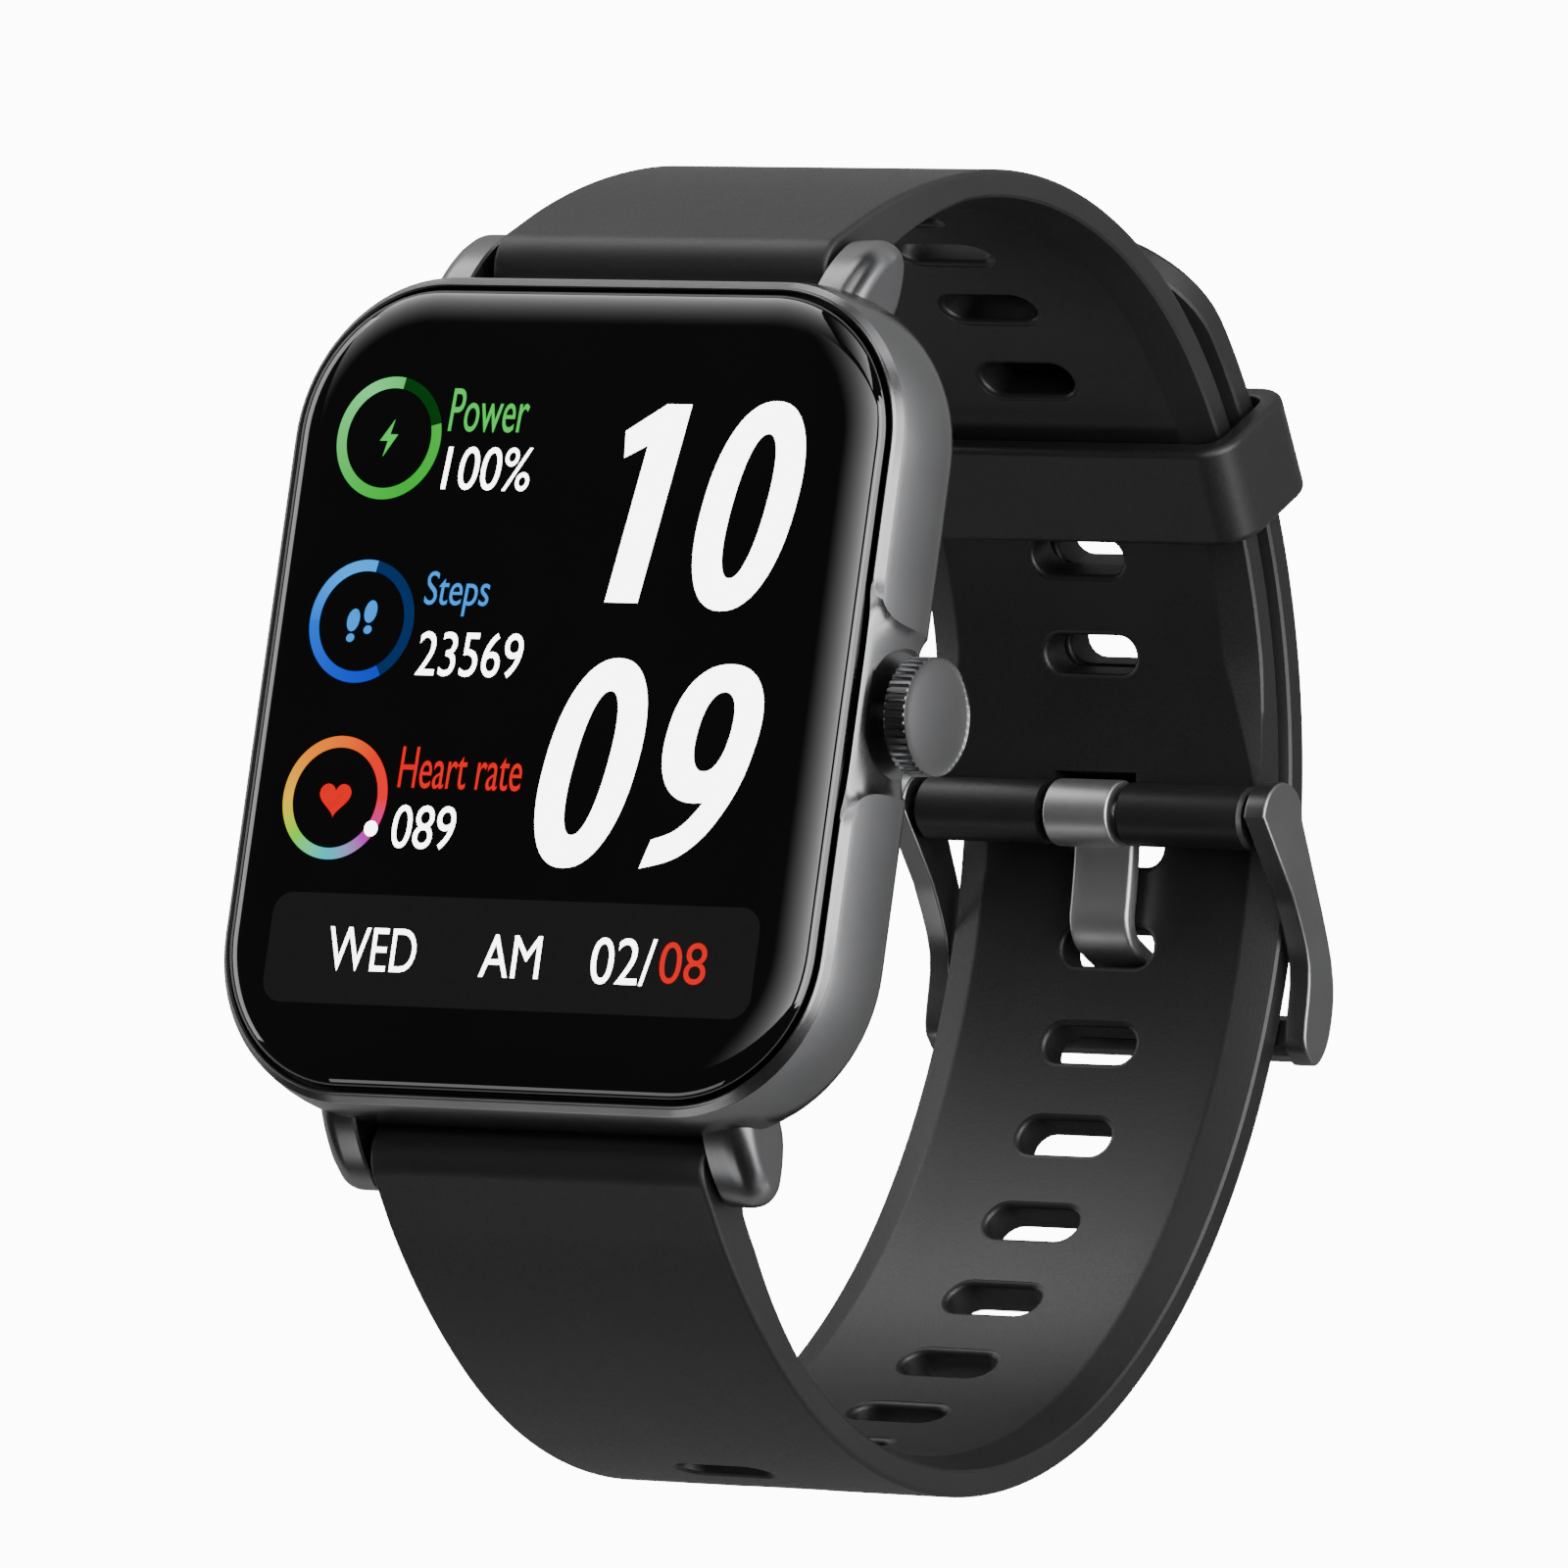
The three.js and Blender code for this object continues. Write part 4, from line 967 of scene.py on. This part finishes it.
def make_band(name, chain, bar, tail):
    """A whole band as one loft from its first end to the moulded end round its spring bar."""
    total = chain_length(chain)
    fillet = 0.3
    rings = []
    stop = total - 2.6
    count = int(stop / 0.75)
    distances = sorted(set([0.0, 0.06, 0.15, 0.3] + [stop * i / count for i in range(1, count + 1)]))
    if tail:
        distances = sorted(set(distances + [0.15 * i for i in range(1, 14)]))
    for s in distances:
        face, out = on_chain(chain, s)
        half, shrink = STRAP_HALF, 0.0
        if tail:
            if s < TAIL_CORNER:
                half = STRAP_HALF - TAIL_CORNER + math.sqrt(TAIL_CORNER**2 - (TAIL_CORNER - s)**2)
            if s < 0.3:
                shrink = 0.3 - math.sqrt(0.09 - (0.3 - s) ** 2)
        to_root = total - s
        bulge = 0.35 * max(0.0, 1 - max(to_root - 2.6, 0) / 7.0) ** 2
        inner = face - out * (STRAP_THICKNESS + bulge - shrink)
        outer = face - out * shrink
        fade = min(max((to_root - 4) / 8, 0.12), 1)
        if not tail:
            fade = min(fade, max(s / 8, 0.12))
        rings.append(strap_section(outer, inner, half, fillet, 2.0 * fade, 0.7 * fade))
    for outer, inner in boss_stations(chain, bar, STRAP_BOSS):
        rings.append(strap_section(outer, inner, STRAP_HALF, fillet, 0.24, 0.16))
    return loft(name, rings)


def bar_hole(centre):
    return turned_x("hole", [(BAR_HOLE, -PAST_STRAP), (BAR_HOLE, PAST_STRAP)], centre)


def make_short_band():
    band = make_band("short_strap", SHORT_CHAIN, UPPER_BAR, False)
    tube = turned_x("tube", [(PIN_TUBE - 0.2, -STRAP_HALF), (PIN_TUBE, -STRAP_HALF + 0.2),
                             (PIN_TUBE, STRAP_HALF - 0.2), (PIN_TUBE - 0.2, STRAP_HALF)], PIN)
    add(band, tube)
    notch_half = 2.5
    notch = loft("notch", [
        [Vector((x, y, z)) for y, z in ((-3, -37), (6.2, -37), (6.2, -50), (-3, -50))]
        for x in (-notch_half, notch_half)])
    middle = OVERLAP_RADIUS - STRAP_THICKNESS / 2
    first = math.radians(FIRST_SHORT_SLOT - SHORT_START) * middle
    carve(
        band,
        slots_cutter(SHORT_CHAIN, [first + i * SLOT_PITCH for i in range(SHORT_SLOTS)]),
        bar_hole(UPPER_BAR),
        bar_hole(PIN),
        notch,
    )
    smooth(band, 30)
    dress(band, SILICONE, "short_band", "silicone", "strap_short")


def make_long_band():
    band = make_band("long_strap", LONG_CHAIN, LOWER_BAR, True)
    _, radius, first, last = LONG_CHAIN[0]
    to_overlap = abs(last - first) * (radius - STRAP_THICKNESS / 2)
    middle = LONG_CHAIN[1][1] - STRAP_THICKNESS / 2
    tongue_slot = to_overlap + math.radians(OVERLAP_END - TONGUE_SLOT) * middle
    places = [tongue_slot + i * SLOT_PITCH for i in range(-SLOTS_TO_TAIL, SLOTS_TO_LUG + 1)]
    carve(band, slots_cutter(LONG_CHAIN, places), bar_hole(LOWER_BAR))
    smooth(band, 30)
    dress(band, SILICONE, "long_band", "silicone", "strap_long")


# ---- Keeper ----

KEEPER_ANGLE = math.radians(-50.4)
KEEPER_WIDTH, KEEPER_WALL = 5.4, 1.15
KEEPER_INNER, KEEPER_OUTER, KEEPER_HALF = 33.5, 38.85, 10.4


def make_keeper():
    out = Vector((math.cos(KEEPER_ANGLE), math.sin(KEEPER_ANGLE)))
    along = Vector((-out.y, out.x))
    centre = OVERLAP_CENTRE + out * (KEEPER_INNER + KEEPER_OUTER) / 2
    half = (KEEPER_HALF, (KEEPER_OUTER - KEEPER_INNER) / 2)
    edge = 0.38
    w = KEEPER_WIDTH / 2
    profile = []
    corners = [
        (KEEPER_WALL - edge, w - edge, edge, 0), (0.16, w - 0.16, 0.16, 90),
        (0.16, -w + 0.16, 0.16, 180), (KEEPER_WALL - edge, -w + edge, edge, 270),
    ]
    for d, s, r, start in corners:
        profile += [(d + r * math.cos(a), s + r * math.sin(a)) for a in arc(start, start + 90, 5)]
    rings = []
    for d, s in profile:
        flat = rounded_ring(half[0] + d, half[1] + d, 0.85 + d, 0, 10, (10, 3))
        rings.append([Vector((p.x, *(centre + out * p.y + along * s))) for p in flat])
    keeper = loft("keeper", rings, loop=True)
    smooth(keeper, 30)
    dress(keeper, SILICONE, "keeper", "silicone", "keeper_loop")


# ---- Buckle ----

CROSSBAR_ANGLE, CROSSBAR_INNER, CROSSBAR_OUTER, CROSSBAR_WIDTH = -96.6, 38.8, 40.6, 2.2
ARM_INNER, ARM_OUTER = 10.4, box_mm("buckle_frame")[1].x
TONGUE_HALF = box_mm("buckle_tongue")[1].x
EYE = 1.9
TONGUE_REACH = 11.4


def around_overlap(radius, degrees):
    a = math.radians(degrees)
    return OVERLAP_CENTRE + radius * Vector((math.cos(a), math.sin(a)))


def plate_x(name, outline, x0, x1, edge, steps=4):
    """A side outline between two X values, its rims rounded."""
    area = sum(p.x * q.y - q.x * p.y for p, q in zip(outline, outline[1:] + outline[:1]))
    sign = 1 if area > 0 else -1
    inward = []
    count = len(outline)
    for i in range(count):
        tangent = (outline[(i + 1) % count] - outline[i - 1]).normalized()
        inward.append(Vector((-tangent.y, tangent.x)) * sign)
    stations = [(x0 + edge * (1 - math.sin(a)), edge * (1 - math.cos(a)))
                for a in arc(90, 0, steps)]
    stations += [(x1 - edge * (1 - math.sin(a)), edge * (1 - math.cos(a)))
                 for a in arc(0, 90, steps)]
    rings = [
        [Vector((x, *(p + n * inset))) for p, n in zip(outline, inward)]
        for x, inset in stations
    ]
    return loft(name, rings)


def make_buckle_frame():
    step = math.degrees(CROSSBAR_WIDTH / 2 / CROSSBAR_OUTER)
    spoke = PIN - OVERLAP_CENTRE
    pin_angle = math.degrees(math.atan2(spoke.y, spoke.x))
    out = spoke.normalized()
    back = Vector((-out.y, out.x))
    eye = [PIN + EYE * (math.cos(a) * out + math.sin(a) * back) for a in arc(180, 0, 12)]
    angle = CROSSBAR_ANGLE
    far = [
        around_overlap(38.25, pin_angle - 7), around_overlap(39.6, pin_angle - 10.2),
        around_overlap(40.4, pin_angle - 13), around_overlap(CROSSBAR_OUTER + 0.02, angle + step * 0.3),
        around_overlap(CROSSBAR_OUTER - 0.35, angle - step * 0.9),
        around_overlap((CROSSBAR_OUTER + CROSSBAR_INNER) / 2, angle - step * 1.3),
        around_overlap(CROSSBAR_INNER + 0.3, angle - step * 1.1),
        around_overlap(CROSSBAR_INNER - 0.5, angle - step * 0.3),
        around_overlap(37.55, pin_angle - 11.5), around_overlap(35.2, pin_angle - 6.4),
    ]
    outline = eye + [Vector(p) for p in catmull(far, 4)]
    arms = []
    for hand in (-1, 1):
        x0, x1 = sorted((hand * ARM_INNER, hand * ARM_OUTER))
        arms.append(plate_x("arm", outline, x0, x1, 0.16))
    frame_piece = add(*arms)
    bar_points = [
        (CROSSBAR_OUTER - 0.25, angle + step), (CROSSBAR_OUTER, angle + step * 0.7),
        (CROSSBAR_OUTER, angle - step * 0.5), (CROSSBAR_OUTER - 0.4, angle - step),
        (CROSSBAR_INNER + 0.4, angle - step), (CROSSBAR_INNER, angle - step * 0.6),
        (CROSSBAR_INNER, angle + step * 0.7), (CROSSBAR_INNER + 0.25, angle + step),
    ]
    bar = [[Vector((x, *around_overlap(r, a))) for r, a in bar_points]
           for x in (-ARM_INNER - 0.4, ARM_INNER + 0.4)]
    add(frame_piece, loft("crossbar", bar))
    carve(frame_piece, turned_x(
        "rest", [(TONGUE_REACH, -2.25), (TONGUE_REACH, 2.25)], PIN, 128))
    for hand in (-1, 1):
        ends = sorted((hand * (ARM_INNER - 1), hand * (ARM_OUTER - 0.15)))
        carve(frame_piece, turned_x("eye_hole", [(0.85, ends[0]), (0.85, ends[1])], PIN))
    smooth(frame_piece, 30)
    dress(frame_piece, BUCKLE_METAL, "frame", "buckle_metal", "buckle_frame")


def make_tongue():
    half = TONGUE_HALF
    eye = 1.75
    bore = 0.85
    edge = 0.14
    roll = turned_x("tongue", [
        (bore, -half + 0.05), (eye - edge, -half)] + [
        (eye - edge + edge * math.sin(a), -half + edge * (1 - math.cos(a))) for a in arc(30, 90, 3)] + [
        (eye - edge + edge * math.sin(a), half - edge * (1 - math.cos(a))) for a in arc(90, 30, 3)] + [
        (eye - edge, half), (bore, half - 0.05)], PIN, 72, loop=True)
    slot = TONGUE_SLOT
    path = [
        around_overlap(35.35, -80.8), around_overlap(35.45, -84), around_overlap(35.5, -87),
        around_overlap(35.6, slot + 1.9), around_overlap(36.2, slot + 0.5),
        around_overlap(37.2, slot - 0.1), around_overlap(38.3, slot - 0.55),
        around_overlap(39.3, slot - 1.2), around_overlap(39.65, slot - 2.2),
        around_overlap(39.75, slot - 3.5),
    ]
    curve = [Vector(p) for p in catmull(path, 6)]
    thick, wide, corner = 0.92, half - 0.15, 0.22
    rings = []
    for i, p in enumerate(curve):
        ahead = (curve[min(i + 1, len(curve) - 1)] - curve[max(i - 1, 0)]).normalized()
        side = Vector((-ahead.y, ahead.x))
        shrink = 1.0 - 0.35 * max(0, (i - (len(curve) - 4)) / 3) ** 2
        section = rounded_ring(wide * (0.88 + 0.12 * shrink), thick / 2 * shrink, corner * shrink, 0,
                               4, (6, 2))
        rings.append([Vector((q.x, *(p + side * q.y))) for q in section])
    add(roll, loft("blade", rings))
    smooth(roll, 32)
    dress(roll, TONGUE_METAL, "tongue", "tongue_metal", "buckle_tongue")


def make_pin():
    low, high = box_mm("buckle_pin")
    radius = (high.z - low.z) / 2
    pin = turned_x("strap_pin", [
        (radius - 0.12, low.x), (radius, low.x + 0.12), (radius, high.x - 0.12),
        (radius - 0.12, high.x)], PIN)
    smooth(pin)
    dress(pin, STEEL, "short_band", "steel", "buckle_pin")


# ---- Frame pieces that stay as they are ----


def finish_frame():
    for row in frame["record"]["subparts"]:
        mesh = frame["nodes"][row["node"]].data
        mesh.materials.clear()
        mesh.materials.append(SLOT_MATERIALS[row["material_slot"]])


# ---- Stage ----

CAMERA_AZIMUTH = math.radians(-15.62)
CAMERA_ELEVATION = math.radians(54.98)
CAMERA_ROLL = math.radians(-69.34)
CAMERA_DISTANCE = 0.97
CAMERA_LENS = 446.85
AIM_FROM_DISPLAY = Vector((5.24, -1.77, -14.17)) * MM


def make_camera():
    back = Vector((
        math.cos(CAMERA_ELEVATION) * math.cos(CAMERA_AZIMUTH),
        math.cos(CAMERA_ELEVATION) * math.sin(CAMERA_AZIMUTH),
        math.sin(CAMERA_ELEVATION),
    ))
    level = Vector((0, 0, 1)).cross(back).normalized()
    upright = back.cross(level)
    right = math.cos(CAMERA_ROLL) * level + math.sin(CAMERA_ROLL) * upright
    up = back.cross(right)
    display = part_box("glass_cover")
    aim = Vector((0, 0, display[1].z)) + AIM_FROM_DISPLAY
    camera = bpy.data.objects.new("camera", bpy.data.cameras.new("camera"))
    camera.data.lens = CAMERA_LENS
    camera.data.sensor_width = 36
    camera.data.clip_start = 0.01
    camera.data.clip_end = 20
    turn = Matrix((right, up, back)).transposed().to_4x4()
    camera.matrix_world = Matrix.Translation(aim + back * CAMERA_DISTANCE) @ turn
    bpy.context.scene.collection.objects.link(camera)
    bpy.context.scene.camera = camera


def softbox(name, direction, distance, size, radiance, along, fade=None):
    """A rectangular light turned to the object; along is the way its width runs, and fade is
    the axis over which it brightens from nothing."""
    data = bpy.data.lights.new(name, "AREA")
    data.shape = "RECTANGLE"
    data.size, data.size_y = size
    data.energy = radiance * math.pi * size[0] * size[1]
    if fade:
        data.use_nodes = True
        tree = data.node_tree
        emission = tree.nodes["Emission"]
        place = tree.nodes.new("ShaderNodeNewGeometry")
        split = tree.nodes.new("ShaderNodeSeparateXYZ")
        ease = tree.nodes.new("ShaderNodeMath")
        ease.operation = "POWER"
        ease.inputs[1].default_value = 1.5
        tree.links.new(place.outputs["Parametric"], split.inputs[0])
        tree.links.new(split.outputs[fade], ease.inputs[0])
        tree.links.new(ease.outputs[0], emission.inputs["Strength"])
    light = bpy.data.objects.new(name, data)
    towards = Vector(direction).normalized()
    width_way = Vector(along) - Vector(along).dot(towards) * towards
    width_way.normalize()
    turn = Matrix((width_way, towards.cross(width_way), towards)).transposed().to_4x4()
    light.matrix_world = Matrix.Translation(towards * distance) @ turn
    bpy.context.scene.collection.objects.link(light)


# name, direction, distance, size, radiance, the way the width runs, and the axis it fades over
SOFTBOXES = [
    ("overhead", (0.1, 0.13, 0.98), 0.6, (0.72, 0.6), 4.0, (1, 0, 0), "X"),
    ("overhead_edge", (0.8, 0.12, 0.58), 0.6, (0.6, 0.16), 5.0, (0, 1, 0)),
    ("back", (-0.55, 0.693, 0.461), 0.6, (0.5, 0.62), 4.0, (1, 0, 0), "Y"),
    ("left", (-1.0, 0.15, 0.2), 0.6, (0.6, 0.16), 2.5, (0, 1, 0)),
    ("right", (0.95, 0.12, 0.25), 0.32, (0.4, 0.2), 4.5, (0, 1, 0)),
    ("low_right", (0.96, 0.15, -0.13), 0.13, (0.18, 0.034), 2.6, (0, 1, 0)),
    ("corner", (0.15, 0.82, 0.5), 0.6, (0.36, 0.42), 3.0, (1, 0, 0), "X"),
    ("front", (-0.3, -0.88, 0.33), 0.6, (0.4, 0.16), 1.4, (1, 0, 0)),
]
FLOOR_HALF = 3.0
FLOOR_DROP = 0.0005
SEEN_GLOW = 12.0  # what the camera sees of the floor
FILL_GLOW = 0.04  # what the floor and the room add to the light


def make_stage():
    size = FLOOR_HALF
    level = CAD_BOX[0].z - FLOOR_DROP
    floor = new_object("floor", [
        (-size, -size, level), (size, -size, level), (size, size, level), (-size, size, level)],
        [(0, 1, 2, 3)], scale=1)
    m = Nodes("floor").set(Roughness=0.9)
    m.shader.inputs["Emission Color"].default_value = (1, 1, 1, 1)
    spread = m.tree.nodes.new("ShaderNodeTexGradient")
    spread.gradient_type = "QUADRATIC_SPHERE"
    scaled = m.tree.nodes.new("ShaderNodeMapping")
    scaled.inputs["Scale"].default_value = (1.8, 1.8, 1.8)
    m.tree.links.new(m.place, scaled.inputs["Vector"])
    m.tree.links.new(scaled.outputs["Vector"], spread.inputs["Vector"])
    m.link(m.ramp(spread.outputs["Fac"], [0.62, 0.12], 0.3, 0.95), "Base Color")
    path = m.tree.nodes.new("ShaderNodeLightPath")
    glow = m.tree.nodes.new("ShaderNodeMath")
    glow.operation = "MULTIPLY_ADD"
    glow.inputs[1].default_value = SEEN_GLOW
    glow.inputs[2].default_value = FILL_GLOW
    m.tree.links.new(path.outputs["Is Camera Ray"], glow.inputs[0])
    m.link(glow.outputs[0], "Emission Strength")
    floor.data.materials.append(m.material)

    world = bpy.data.worlds.new("studio")
    world.use_nodes = True
    background = world.node_tree.nodes["Background"]
    background.inputs["Color"].default_value = (1, 1, 1, 1)
    background.inputs["Strength"].default_value = FILL_GLOW
    bpy.context.scene.world = world
    for row in SOFTBOXES:
        softbox(*row)


# ---- Assembly ----

make_camera()
make_stage()
finish_frame()
make_case()
make_glass()
make_display()
make_back()
make_crown()
make_short_band()
make_long_band()
make_keeper()
make_buckle_frame()
make_tongue()
make_pin()
